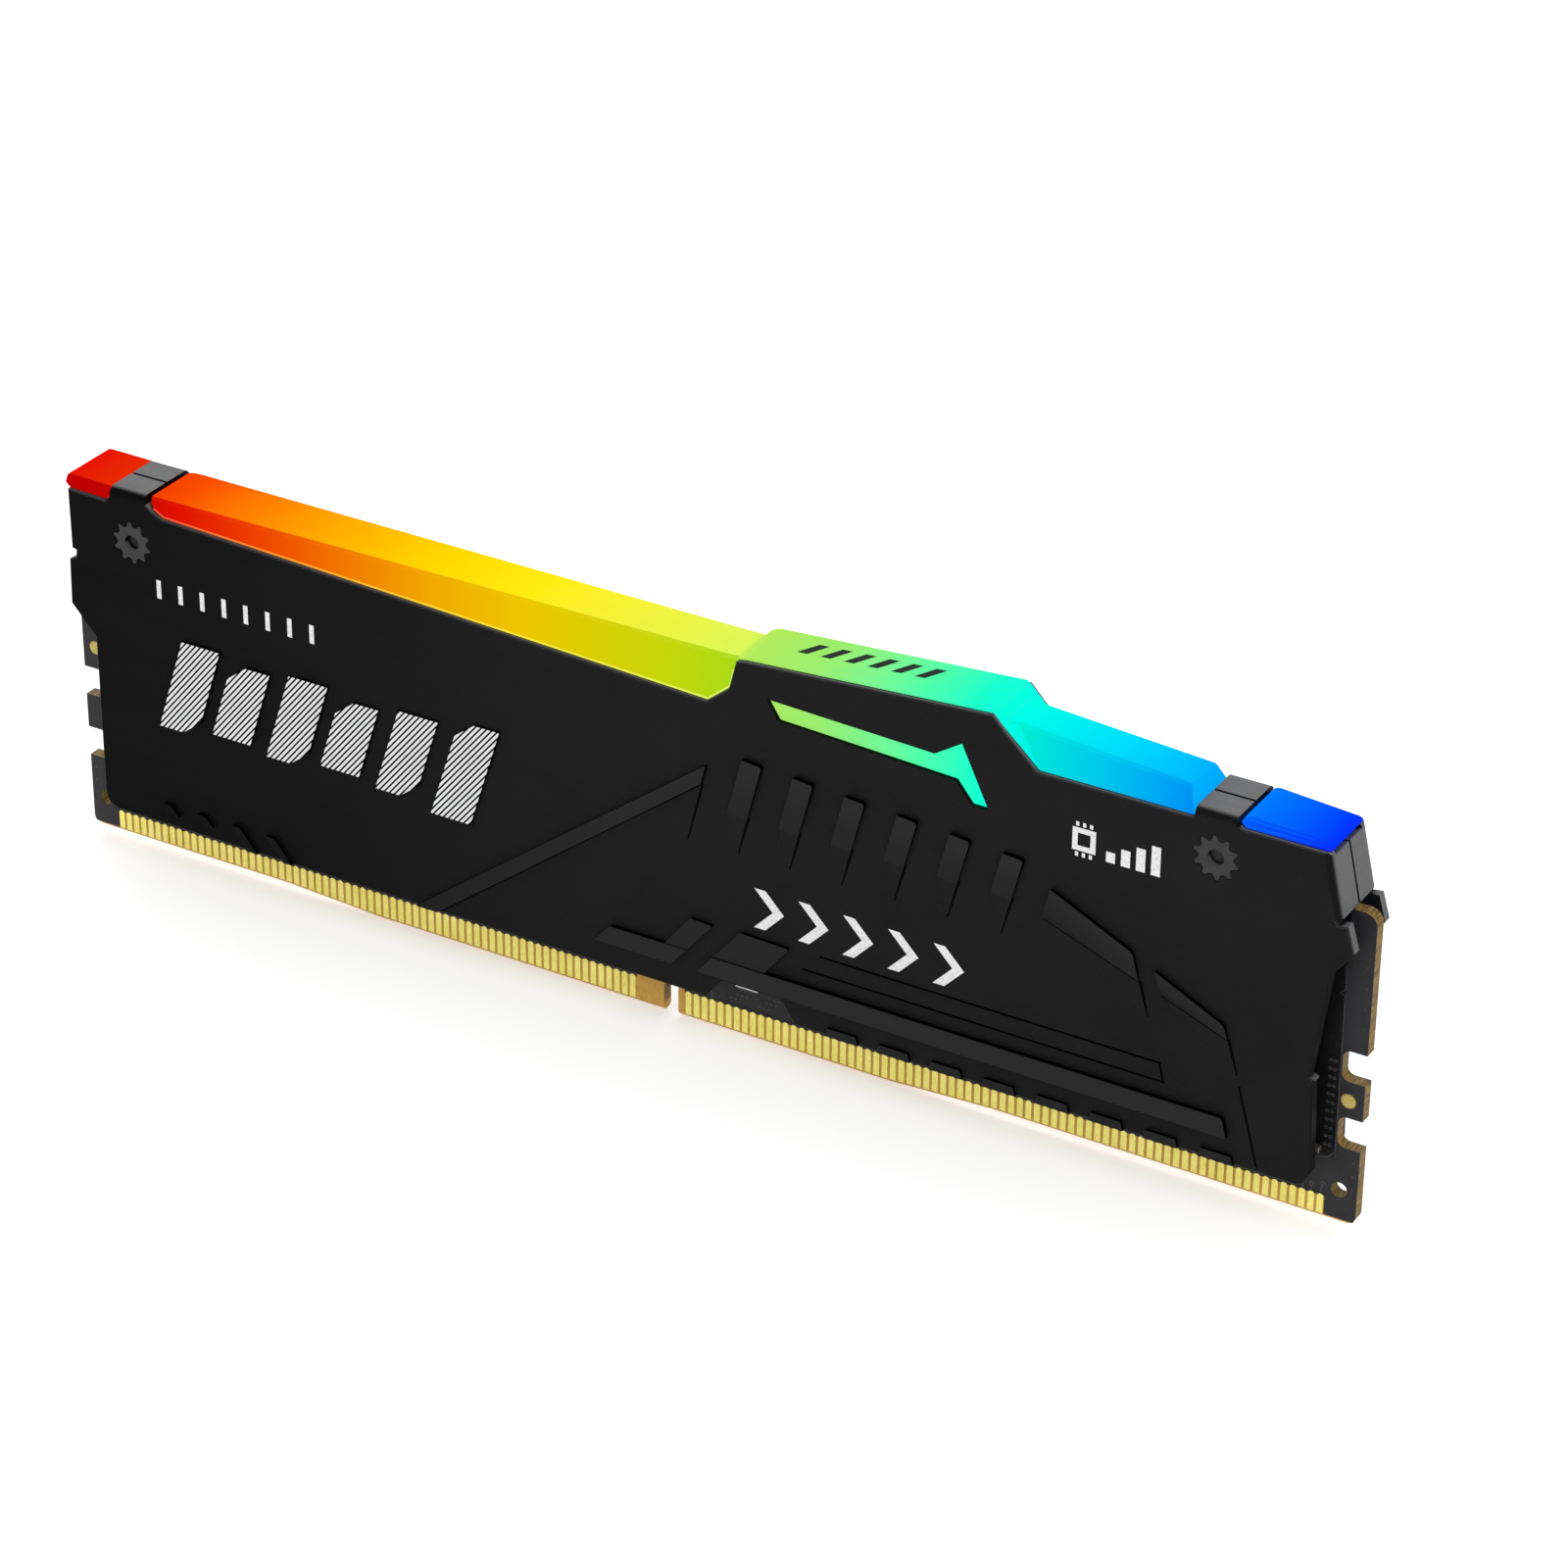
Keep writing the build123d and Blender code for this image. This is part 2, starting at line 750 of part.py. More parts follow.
def build():
    save("circuit_board", circuit_board())
    coat = mask_front()
    save("solder_mask_front", coat)
    save("solder_mask_back", to_back(coat))
    pads = locating_pads_front()
    save("locating_pads_front", pads)
    save("locating_pads_back", to_back(pads))
    fingers = contacts_front()
    save("contacts_front", fingers)
    save("contacts_back", to_back(fingers))
    for number, x in enumerate(chip_places(), start=1):
        save(f"memory_chip_{number}", memory_chip(x))
    save("power_controller", small_parts([(0.0, 20.2)], 5.0, 5.0, 0.8))
    for number, x in enumerate((-6.2, 0.0, 6.2), start=1):
        save(f"power_inductor_{number}", small_parts([(x, 14.6)], 3.2, 2.5, 1.0))
    save("serial_hub", small_parts([(-5.8, 20.2)], 2.0, 3.0, 0.6))
    save("light_controller", small_parts([(5.8, 20.2)], 3.0, 3.0, 0.75))
    for number, x in enumerate(emitter_places(), start=1):
        save(f"light_emitter_{number}", small_parts([(x, 30.4)], 3.0, 1.3, 1.0))
    capacitors = small_parts(capacitor_places(7.4), 1.0, 0.5, 0.5)
    save("capacitors_front", capacitors)
    save("capacitors_back", to_back(small_parts(capacitor_places(23.4), 1.0, 0.5, 0.5)))
    networks = [(x + shift, 23.2) for x in chip_places() for shift in (-2.4, 2.4)]
    save("resistor_networks", small_parts(networks, 2.0, 1.0, 0.4))
    save("thermal_pad_front", thermal_pad_front())
    save("spacer_pad_back", spacer_pad_back())
    front = heat_spreader_front()
    save("heat_spreader_front", front)
    save("heat_spreader_back", to_back(front))
    save("light_diffuser", light_diffuser())


build()
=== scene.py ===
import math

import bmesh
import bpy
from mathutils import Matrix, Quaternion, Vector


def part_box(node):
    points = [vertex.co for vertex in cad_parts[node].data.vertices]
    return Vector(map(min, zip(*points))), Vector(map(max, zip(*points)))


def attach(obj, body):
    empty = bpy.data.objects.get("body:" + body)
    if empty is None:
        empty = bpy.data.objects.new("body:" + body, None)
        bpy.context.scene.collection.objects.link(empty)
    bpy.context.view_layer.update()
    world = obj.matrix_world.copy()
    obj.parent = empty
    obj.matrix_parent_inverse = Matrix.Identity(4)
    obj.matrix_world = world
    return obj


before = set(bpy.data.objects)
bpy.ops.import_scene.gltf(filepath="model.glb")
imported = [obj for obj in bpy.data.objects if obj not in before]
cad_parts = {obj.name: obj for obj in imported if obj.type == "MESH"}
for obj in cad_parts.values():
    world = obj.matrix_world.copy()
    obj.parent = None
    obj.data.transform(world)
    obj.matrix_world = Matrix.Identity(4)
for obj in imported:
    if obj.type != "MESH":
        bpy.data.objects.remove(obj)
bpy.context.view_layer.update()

# The looks of a memory module with a lit bar: finishes for the CAD parts, thin printed
# and plated detail, a camera and a soft studio. Lengths are in millimetres unless a
# name says otherwise, and MM turns them into the scene's metres.

MM = 0.001
BODY = "root"
SIDES = {"front": -1, "back": 1}      # the side of the board that faces -Y or +Y


def limits(node):
    """The lowest and highest corner of a CAD node, in millimetres."""
    low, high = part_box(node)
    return low / MM, high / MM


RELIEF, CREASE = 0.55, 0.25           # heights of the tallest plates and of their creases
BORE_DEPTH = 0.85                     # how deep the cogs' bores go into a sheet
EDGE_BREAK = 0.12                     # the narrow chamfer round a sheet
SHEET_FACE = limits("heat_spreader_back")[1].y - RELIEF
MASK_FACE = limits("solder_mask_back")[1].y

RIDGE_START, RIDGE_END = (7.6, 40.5), (31.05, 42.23)   # the ridge's top line, (x, z)
INK = 0.008                           # how far printed ink stands proud
SINK = 0.03                           # how deep a laid-on piece reaches below its surface


# ---------------------------------------------------------------- node materials

def srgb(red, green, blue):
    """A linear colour from the usual 0 to 255 values."""
    shares = [value / 255 for value in (red, green, blue)]
    return [s / 12.92 if s <= 0.04045 else ((s + 0.055) / 1.055) ** 2.4
            for s in shares] + [1.0]


def grey(level):
    """A linear grey."""
    return [level, level, level, 1.0]


class Finish:
    """A procedural material in the making. Sizes of patterns are in millimetres."""

    def __init__(self, name):
        self.material = bpy.data.materials.new(name)
        self.material.use_nodes = True
        self.tree = self.material.node_tree
        self.shader = self.tree.nodes["Principled BSDF"]
        self.place = self.vector("SCALE", self.node("ShaderNodeTexCoord").outputs["Object"],
                                 scale=1 / MM)
        split = self.node("ShaderNodeSeparateXYZ", {0: self.place})
        self.x, self.y, self.z = split.outputs
        self.geometry = self.node("ShaderNodeNewGeometry")

    def node(self, kind, values=None, **settings):
        """A node with its settings, and its sockets wired or given their own value."""
        node = self.tree.nodes.new(kind)
        for name, value in settings.items():
            setattr(node, name, value)
        for name, value in (values or {}).items():
            self.feed(node.inputs[name], value)
        return node

    def feed(self, socket, value):
        if isinstance(value, bpy.types.NodeSocket):
            self.tree.links.new(value, socket)
        else:
            socket.default_value = value

    def set(self, **values):
        """Feeds the surface shader: base_color=..., roughness=... and so on."""
        for name, value in values.items():
            words = name.replace("_", " ").title()
            words = words.replace("Ior", "IOR")
            self.feed(self.shader.inputs[words], value)

    def math(self, operation, a, b=0.0, clamp=False):
        node = self.node("ShaderNodeMath", {0: a, 1: b}, operation=operation,
                         use_clamp=clamp)
        return node.outputs[0]

    def times(self, first, *others):
        """The product of several values."""
        for other in others:
            first = self.math("MULTIPLY", first, other)
        return first

    def vector(self, operation, a, b=None, scale=None):
        node = self.node("ShaderNodeVectorMath", {0: a}, operation=operation)
        if b is not None:
            self.feed(node.inputs[1], b)
        if scale is not None:
            self.feed(node.inputs["Scale"], scale)
        return node.outputs["Value" if operation == "DOT_PRODUCT" else "Vector"]

    def rise(self, value, start, end, low=0.0, high=1.0):
        """Goes smoothly from low to high as the value goes from start to end."""
        node = self.node("ShaderNodeMapRange", interpolation_type="SMOOTHSTEP")
        for index, number in enumerate((value, start, end, low, high)):
            self.feed(node.inputs[index], number)
        return node.outputs[0]

    def fall(self, value, start, end):
        """Goes smoothly from 1 to 0 as the value goes from start to end."""
        return self.rise(value, start, end, 1, 0)

    def mix(self, share, first, second, way="MIX"):
        """A colour between two, or two blended in another way."""
        node = self.node("ShaderNodeMix", {0: share, 6: first, 7: second},
                         data_type="RGBA", blend_type=way)
        return node.outputs[2]

    def stops(self, value, colours):
        """A colour ramp over (position, colour) pairs."""
        node = self.node("ShaderNodeValToRGB", {0: value})
        ramp = node.color_ramp
        while len(ramp.elements) < len(colours):
            ramp.elements.new(0.5)
        for element, (position, colour) in zip(ramp.elements, colours):
            element.position = position
            element.color = colour
        return node.outputs[0]

    def noise(self, size, detail=2.0, stretch=(1, 1, 1)):
        """Soft noise whose blotches are about this many millimetres across."""
        squeezed = self.vector("MULTIPLY", self.place, [1 / s for s in stretch])
        node = self.node("ShaderNodeTexNoise", {"Vector": squeezed, "Scale": 1 / size,
                                                "Detail": detail})
        return node.outputs["Fac"]

    def cells(self, size, feature="F1"):
        """Distance inside cells of about this size."""
        node = self.node("ShaderNodeTexVoronoi", {"Vector": self.place, "Scale": 1 / size},
                         feature=feature)
        return node.outputs["Distance"]

    def edges(self, radius, gain=5.0):
        """1 on a sharp edge and 0 on a flat face, with the rounded normal beside it."""
        rounded = self.node("ShaderNodeBevel", {"Radius": radius * MM}, samples=6)
        lean = self.vector("DOT_PRODUCT", rounded.outputs[0],
                           self.geometry.outputs["Normal"])
        off = self.math("SUBTRACT", 1.0, lean)
        return self.math("MULTIPLY", off, gain, clamp=True), rounded.outputs[0]

    def openness(self, reach, own=False):
        """1 in the open and near 0 deep in a corner, of the piece's own walls if asked."""
        node = self.node("ShaderNodeAmbientOcclusion", {"Distance": reach * MM}, samples=8,
                         only_local=own)
        return node.outputs["AO"]

    def bump(self, height, depth, normal=None, strength=1.0):
        """A relief of this depth, laid over an earlier normal."""
        node = self.node("ShaderNodeBump", {"Height": height, "Distance": depth * MM,
                                            "Strength": strength})
        if normal is not None:
            self.feed(node.inputs["Normal"], normal)
        return node.outputs[0]

    def facing(self):
        """How squarely the surface faces the front or the back, from 0 to 1."""
        across = self.vector("DOT_PRODUCT", self.geometry.outputs["Normal"], (0, 1, 0))
        return self.math("ABSOLUTE", across)

    def facing_up(self):
        """1 on a surface that faces straight up, 0 on an upright one."""
        return self.vector("DOT_PRODUCT", self.geometry.outputs["Normal"], (0, 0, 1))


# The light slot of a sheet: its span in x, then in z.
SLOT_LEFT, SLOT_RIGHT, SLOT_LOW, SLOT_HIGH = 9.8, 32.2, 32.0, 38.4
SLOT_BLUR = 0.1                       # how softly the painted shade in the slot begins and ends
SHADE_START, SHADE_END = -66.0, 5.0   # the length of sheet that painted shade darkens to the left
EDGE_BLUR = 0.02                      # the soft start of the painted light on the lips


def black_coat(finish, grain, height, facing):
    """The coat itself, with painted shade that makes it blacker towards the left end and
    round the folds, and painted light that makes the tops of the raised plates paler."""
    cloud = finish.noise(9.0, 3)
    black = finish.stops(grain, ((0.3, srgb(19, 19, 20)), (0.75, srgb(25, 25, 26))))
    black = finish.mix(finish.rise(cloud, 0.35, 0.7, 0, 0.5), black, srgb(27, 27, 28))
    # Painted light: the front faces of the raised plates are paler, more so the higher they
    # stand.
    raised = finish.math("ADD", finish.rise(height, CREASE - 0.02, CREASE - 0.01, 0, 0.45),
                         finish.rise(height, CREASE, RELIEF, 0, 0.55))
    raised = finish.times(raised, finish.rise(facing, 0.9, 0.97))
    colour = finish.mix(raised, black, srgb(36, 36, 37))
    # Painted shade: the sheet is blacker towards its left end.
    shade = finish.rise(finish.x, SHADE_START, SHADE_END, 0.95, 0)
    colour = finish.mix(shade, colour, grey(0.0006))
    # Painted shade: the folds between the front and the top are darker.
    bend = finish.times(finish.rise(facing, 0.3, 0.5), finish.fall(facing, 0.93, 0.98), 0.5)
    return finish.mix(bend, colour, grey(0.0015))


def painted_edge_light(finish, colour, grain, height, facing, open_air, edge_glint):
    """Painted light: paler metal on the folds, the lips and those cut edges that face up,
    where light from above falls, and a faint painted highlight along sharp edges.
    """
    upward = finish.rise(finish.facing_up(), 0.05, 0.2)
    # Painted light on open folds and upward cut edges, broken up by the grain.
    lit_edges = finish.times(finish.fall(facing, 0.1, 0.65),
                          finish.rise(grain, 0.2, 0.5, 0.85, 1),
                          finish.rise(finish.openness(0.7, own=True), 0.66, 0.9), upward,
                          finish.rise(open_air, 0.4, 0.72, 0.1, 1))
    colour = finish.mix(lit_edges, colour, srgb(90, 90, 91))
    # Painted light on the upward-facing lips, with a faint painted highlight on sharp edges.
    lip = finish.times(finish.rise(facing, 0.55, 0.65), finish.fall(facing, 0.78, 0.83),
                       finish.rise(height, -EDGE_BREAK - EDGE_BLUR, -EDGE_BREAK), upward)
    lip = finish.math("MAXIMUM", finish.times(edge_glint, 0.1), lip)
    return finish.mix(lip, colour, srgb(44, 44, 46))


def painted_wall_shade(finish, colour, height, facing, open_air):
    """Painted shade: nearly black walls round the raised plates, in the light slot and in
    corners.
    """
    inside = finish.times(finish.rise(finish.x, SLOT_LEFT, SLOT_LEFT + SLOT_BLUR),
                          finish.fall(finish.x, SLOT_RIGHT, SLOT_RIGHT + SLOT_BLUR),
                          finish.rise(finish.z, SLOT_LOW, SLOT_LOW + SLOT_BLUR),
                          finish.fall(finish.z, SLOT_HIGH, SLOT_HIGH + SLOT_BLUR))
    proud = finish.rise(height, 0.004, 0.012)
    # Painted shade on the walls round the raised plates and in the light slot.
    shaded_walls = finish.times(finish.math("MAXIMUM", inside, proud),
                         finish.fall(facing, 0.5, 0.9))
    # Painted shade in corners, from how open the surface is.
    corner = finish.rise(open_air, 0.1, 0.4, 0.85, 0)
    return finish.mix(finish.math("MAXIMUM", shaded_walls, corner), colour, grey(0.0004))


def coated_sheet():
    """Black coated aluminium with a fine grain. Painted light makes its raised tops, upward
    edges and the floors of the cogs' bores paler; painted shade makes its corners darker."""
    finish = Finish("coated_sheet")
    grain = finish.noise(0.12, 3)
    wipe = finish.noise(1.4, 4, stretch=(9, 1, 0.5))
    # The sharp edges of the sheet, for a faint painted highlight.
    edge_glint, rounded = finish.edges(0.1)
    open_air = finish.openness(0.7)
    facing = finish.facing()
    height = finish.math("SUBTRACT", finish.math("ABSOLUTE", finish.y), SHEET_FACE)
    colour = black_coat(finish, grain, height, facing)
    colour = painted_edge_light(finish, colour, grain, height, facing, open_air, edge_glint)
    colour = painted_wall_shade(finish, colour, height, facing, open_air)
    # Painted light: the floors of the cogs' bores are paler.
    floor = finish.times(finish.rise(height, -BORE_DEPTH - 0.05, -BORE_DEPTH),
                         finish.fall(height, -BORE_DEPTH, -BORE_DEPTH + 0.05),
                         finish.rise(facing, 0.9, 0.97))
    colour = finish.mix(floor, colour, srgb(60, 60, 61))
    finish.set(base_color=colour, specular_ior_level=0.034,
               roughness=finish.rise(wipe, 0.3, 0.7, 0.36, 0.5),
               normal=finish.bump(grain, 0.0035, rounded))
    return finish.material


GLOW = (
    (-66.0, (228, 10, 4)), (-59.0, (228, 46, 2)), (-53.0, (246, 76, 0)),
    (-45.0, (253, 130, 0)), (-35.0, (255, 178, 0)), (-25.0, (255, 214, 0)),
    (-15.0, (253, 232, 16)), (0.0, (230, 241, 70)), (6.0, (216, 243, 88)),
    (8.0, (174, 230, 90)), (15.0, (154, 235, 112)), (25.0, (77, 250, 168)),
    (30.0, (27, 253, 202)), (33.0, (0, 250, 226)), (43.0, (0, 215, 247)),
    (50.0, (0, 176, 252)), (56.0, (0, 118, 255)), (64.0, (2, 34, 252)),
)


def lit_plastic(name="lit_plastic", rim=False):
    """Frosted plastic lit from inside, its colour running along the bar. Light that
    leaves through a side has crossed more of the tinted plastic, so it is deeper, most
    of all on the warm length. A rim shows no such depth and is a little paler."""
    finish = Finish(name)
    low, high = GLOW[0][0], GLOW[-1][0]
    share = finish.node("ShaderNodeMapRange", {0: finish.x, 1: low, 2: high}).outputs[0]
    top = finish.stops(share, [((x - low) / (high - low), srgb(*colour))
                               for x, colour in GLOW])
    deep = finish.mix(1.0, top, top, "MULTIPLY")
    deep = finish.mix(1.0, deep, grey(0.84), "MULTIPLY")
    pale = finish.mix(0.04, top, grey(1.0))
    if rim:
        colour, rounded = pale, finish.edges(0.04)[1]
    else:
        warm, cool = RIDGE_START[0] - 0.5, RIDGE_END[0] + 1.2
        reach = finish.math("MAXIMUM", finish.fall(finish.x, warm, warm + 0.2),
                            finish.rise(finish.x, cool, cool + 0.2, 0, 0.55))
        side = finish.times(reach, finish.rise(finish.facing(), 0.35, 0.95))
        edge, rounded = finish.edges(0.2, 8.0)
        colour = finish.mix(side, top, deep)
        # Painted highlight: the bar's sharp edges lean a little towards the paler colour.
        colour = finish.mix(finish.times(edge, 0.15), colour, pale)
    frost = finish.noise(0.09, 2)
    haze = finish.noise(5.0, 3)
    colour = finish.mix(finish.rise(haze, 0.35, 0.7, 0, 0.07), colour, deep)
    finish.set(base_color=finish.mix(1.0, colour, grey(0.1), "MULTIPLY"),
               emission_color=colour, emission_strength=0.92,
               specular_ior_level=0.0, roughness=finish.rise(frost, 0.2, 0.8, 0.3, 0.48),
               normal=finish.bump(frost, 0.002, rounded))
    return finish.material


def masked_board(name="masked_board"):
    """Matte black solder mask: dull over the copper planes, with painted shade that makes it
    near black under the sheets and darker in corners, and the cloth weave of the board
    faintly showing."""
    finish = Finish(name)
    grain = finish.noise(0.1, 3)
    cloud = finish.noise(3.5, 3)
    weave = [finish.node("ShaderNodeTexWave", {"Vector": finish.place, "Scale": 0.55,
                                               "Distortion": 0.6, "Detail": 1.0},
                         bands_direction=direction).outputs["Fac"]
             for direction in ("X", "Z")]
    cloth = finish.math("MAXIMUM", *weave)
    end = finish.math("ABSOLUTE", finish.x)
    plane = finish.math("MAXIMUM", finish.rise(end, 64.27, 64.33),
                        finish.fall(finish.z, 6.5, 6.9))
    over_copper = finish.stops(cloud, ((0.3, srgb(31, 31, 33)), (0.7, srgb(42, 42, 44))))
    # Painted shade: away from the copper planes at the ends and along the foot, the board
    # under the sheets is near black.
    colour = finish.mix(plane, srgb(8, 8, 9), over_copper)
    colour = finish.mix(finish.rise(grain, 0.55, 0.8, 0, 0.25), colour, srgb(58, 58, 61))
    # Painted shade in corners, from how open the surface is.
    open_air = finish.openness(1.2)
    colour = finish.mix(finish.rise(open_air, 0.15, 0.7, 0.9, 0), colour, grey(0.0006))
    normal = finish.bump(cloth, 0.006, strength=0.6)
    finish.set(base_color=colour, specular_ior_level=0.14,
               roughness=finish.rise(cloud, 0.3, 0.7, 0.38, 0.52),
               normal=finish.bump(grain, 0.004, normal))
    return finish.material


def routed_laminate():
    """Glass laminate: straw-coloured resin on its faces and along its foot, and on its
    routed edges darker glass layers crossed by the marks of the cutter."""
    finish = Finish("routed_laminate")
    weave = finish.noise(0.28, 2, stretch=(1, 1, 3))
    face = finish.stops(weave, ((0.3, srgb(174, 133, 61)), (0.7, srgb(188, 147, 72))))
    layers = finish.node("ShaderNodeTexWave", {"Vector": finish.place, "Scale": 1.9,
                                               "Distortion": 1.2, "Detail": 2.0},
                         bands_direction="Y").outputs["Fac"]
    marks = finish.noise(0.16, 3, stretch=(1, 9, 1))
    cut = finish.stops(marks, ((0.32, srgb(58, 40, 10)), (0.5, srgb(110, 84, 34)),
                               (0.68, srgb(148, 118, 58))))
    cut = finish.mix(finish.rise(layers, 0.2, 0.9, 0, 0.4), cut, srgb(86, 62, 20))
    low = finish.fall(finish.z, 0.6, 1.1)
    flat = finish.math("MAXIMUM", finish.rise(finish.facing(), 0.4, 0.7), low)
    colour = finish.mix(flat, cut, face)
    relief = finish.math("ADD", marks, finish.times(layers, 0.5))
    finish.set(base_color=colour, specular_ior_level=0.15, roughness=0.55,
               normal=finish.bump(relief, 0.02, strength=0.6))
    return finish.material


def plated_gold(name, light, pale, wiped):
    """Hard gold with fine upright wipe marks and softly rounded pad edges."""
    finish = Finish(name)
    wipe = finish.noise(0.07, 3, stretch=(1, 1, 14))
    stain = finish.noise(1.6, 3)
    edge, rounded = finish.edges(0.05, 3.0)
    colour = finish.stops(stain, ((0.3, light), (0.7, pale)))
    colour = finish.mix(finish.rise(wipe, 0.5, 0.75, 0, 0.35), colour, wiped)
    colour = finish.mix(finish.times(edge, 0.6), colour, srgb(178, 146, 60))
    finish.set(base_color=colour, metallic=0.6,
               roughness=finish.rise(wipe, 0.3, 0.7, 0.26, 0.42),
               normal=finish.bump(wipe, 0.002, rounded))
    return finish.material


def moulded_package(name, dark, light):
    """Filled epoxy: matte, with fine glassy specks and polished edges."""
    finish = Finish(name)
    grain = finish.noise(0.07, 3)
    specks = finish.cells(0.11)
    edge, rounded = finish.edges(0.08)
    colour = finish.stops(grain, ((0.3, dark), (0.7, light)))
    colour = finish.mix(finish.rise(specks, 0.05, 0.16, 0.35, 0), colour, srgb(120, 120, 118))
    colour = finish.mix(finish.times(edge, 0.4), colour, srgb(92, 92, 92))
    finish.set(base_color=colour, specular_ior_level=0.35,
               roughness=finish.rise(grain, 0.3, 0.7, 0.5, 0.68),
               normal=finish.bump(grain, 0.005, rounded))
    return finish.material


def fired_ceramic(name, dark, light, rough):
    """Fired ceramic: cloudy colour, fine pits and lighter edges, with painted shade in tight
    corners.
    """
    finish = Finish(name)
    cloud = finish.noise(0.4, 4)
    pits = finish.cells(0.06)
    edge, rounded = finish.edges(0.04)
    colour = finish.stops(cloud, ((0.3, dark), (0.7, light)))
    colour = finish.mix(finish.times(edge, 0.4), colour, grey(0.5))
    # Painted shade in tight corners.
    open_air = finish.openness(2.5)
    colour = finish.mix(finish.rise(open_air, 0.3, 0.8, 0.9, 0), colour, grey(0.002))
    finish.set(base_color=colour, specular_ior_level=0.4,
               roughness=finish.rise(cloud, 0.3, 0.7, rough, rough + 0.18),
               normal=finish.bump(pits, 0.004, rounded))
    return finish.material


def soft_pad(name, dark, light, pore, depth):
    """A soft filled sheet: blotchy colour and open pores of a given size."""
    finish = Finish(name)
    pores = finish.cells(pore)
    cloud = finish.noise(2.0, 3)
    crumbs = finish.noise(pore * 0.6, 3)
    colour = finish.stops(cloud, ((0.3, dark), (0.7, light)))
    colour = finish.mix(finish.rise(pores, 0.05, 0.35, 0.6, 0), colour, grey(0.01))
    relief = finish.math("ADD", pores, crumbs)
    finish.set(base_color=colour, specular_ior_level=0.2,
               roughness=finish.rise(crumbs, 0.3, 0.7, 0.75, 0.95),
               normal=finish.bump(relief, depth))
    return finish.material


def printed_ink(name, dark, light, gloss=0.3):
    """Screen-printed ink: slightly uneven cover and a fine orange-peel surface."""
    finish = Finish(name)
    cover = finish.noise(0.14, 3)
    patch = finish.noise(1.8, 2)
    colour = finish.stops(cover, ((0.35, dark), (0.6, light)))
    colour = finish.mix(finish.rise(patch, 0.4, 0.7, 0, 0.2), colour, dark)
    finish.set(base_color=colour, specular_ior_level=gloss,
               roughness=finish.rise(cover, 0.3, 0.7, 0.45, 0.62),
               normal=finish.bump(cover, 0.003))
    return finish.material


def dull_metal(name, dark, light):
    """Tin or satin metal: mottled, with soft bumps and bright edges, and painted shade in
    tight corners."""
    finish = Finish(name)
    mottle = finish.noise(0.16, 4)
    edge, rounded = finish.edges(0.04, 3.0)
    colour = finish.stops(mottle, ((0.3, dark), (0.7, light)))
    colour = finish.mix(finish.times(edge, 0.5), colour, light)
    # Painted shade in tight corners.
    open_air = finish.openness(2.5)
    colour = finish.mix(finish.rise(open_air, 0.3, 0.8, 0.9, 0), colour, grey(0.004))
    finish.set(base_color=colour, metallic=0.8,
               roughness=finish.rise(mottle, 0.3, 0.7, 0.3, 0.5),
               normal=finish.bump(mottle, 0.004, rounded))
    return finish.material


def cog_plate():
    """The cogs: a slightly paler satin grey with a turned, ringed surface."""
    finish = Finish("cog_plate")
    grain = finish.noise(0.1, 3)
    cloud = finish.noise(1.2, 2)
    edge, rounded = finish.edges(0.06)
    colour = finish.stops(cloud, ((0.3, srgb(40, 40, 41)), (0.7, srgb(47, 47, 48))))
    colour = finish.mix(finish.rise(grain, 0.5, 0.8, 0, 0.3), colour, srgb(58, 58, 59))
    colour = finish.mix(finish.times(edge, 0.4), colour, srgb(76, 76, 78))
    finish.set(base_color=colour, specular_ior_level=0.2,
               roughness=finish.rise(grain, 0.3, 0.7, 0.42, 0.56),
               normal=finish.bump(grain, 0.003, rounded))
    return finish.material


def label_film():
    """Silvery label film with a faint brushed run and soft handling marks."""
    finish = Finish("label_film")
    run = finish.noise(0.1, 3, stretch=(24, 1, 1))
    smear = finish.noise(5.0, 3)
    colour = finish.stops(run, ((0.3, srgb(186, 187, 188)), (0.7, srgb(214, 214, 213))))
    colour = finish.mix(finish.rise(smear, 0.45, 0.75, 0, 0.3), colour, srgb(170, 171, 172))
    finish.set(base_color=colour, specular_ior_level=0.4,
               roughness=finish.rise(smear, 0.3, 0.7, 0.38, 0.55),
               normal=finish.bump(run, 0.002))
    return finish.material


def studio_floor():
    """A plain pale table, faintly lit from below so that shadows on it stay light."""
    finish = Finish("studio_floor")
    tone = finish.noise(180.0, 2)
    finish.set(base_color=finish.stops(tone, ((0.3, grey(0.84)), (0.7, grey(0.88)))),
               emission_color=grey(1.0), emission_strength=0.3,
               specular_ior_level=0.1, roughness=0.9)
    return finish.material


# ---------------------------------------------------------------- small closed shapes

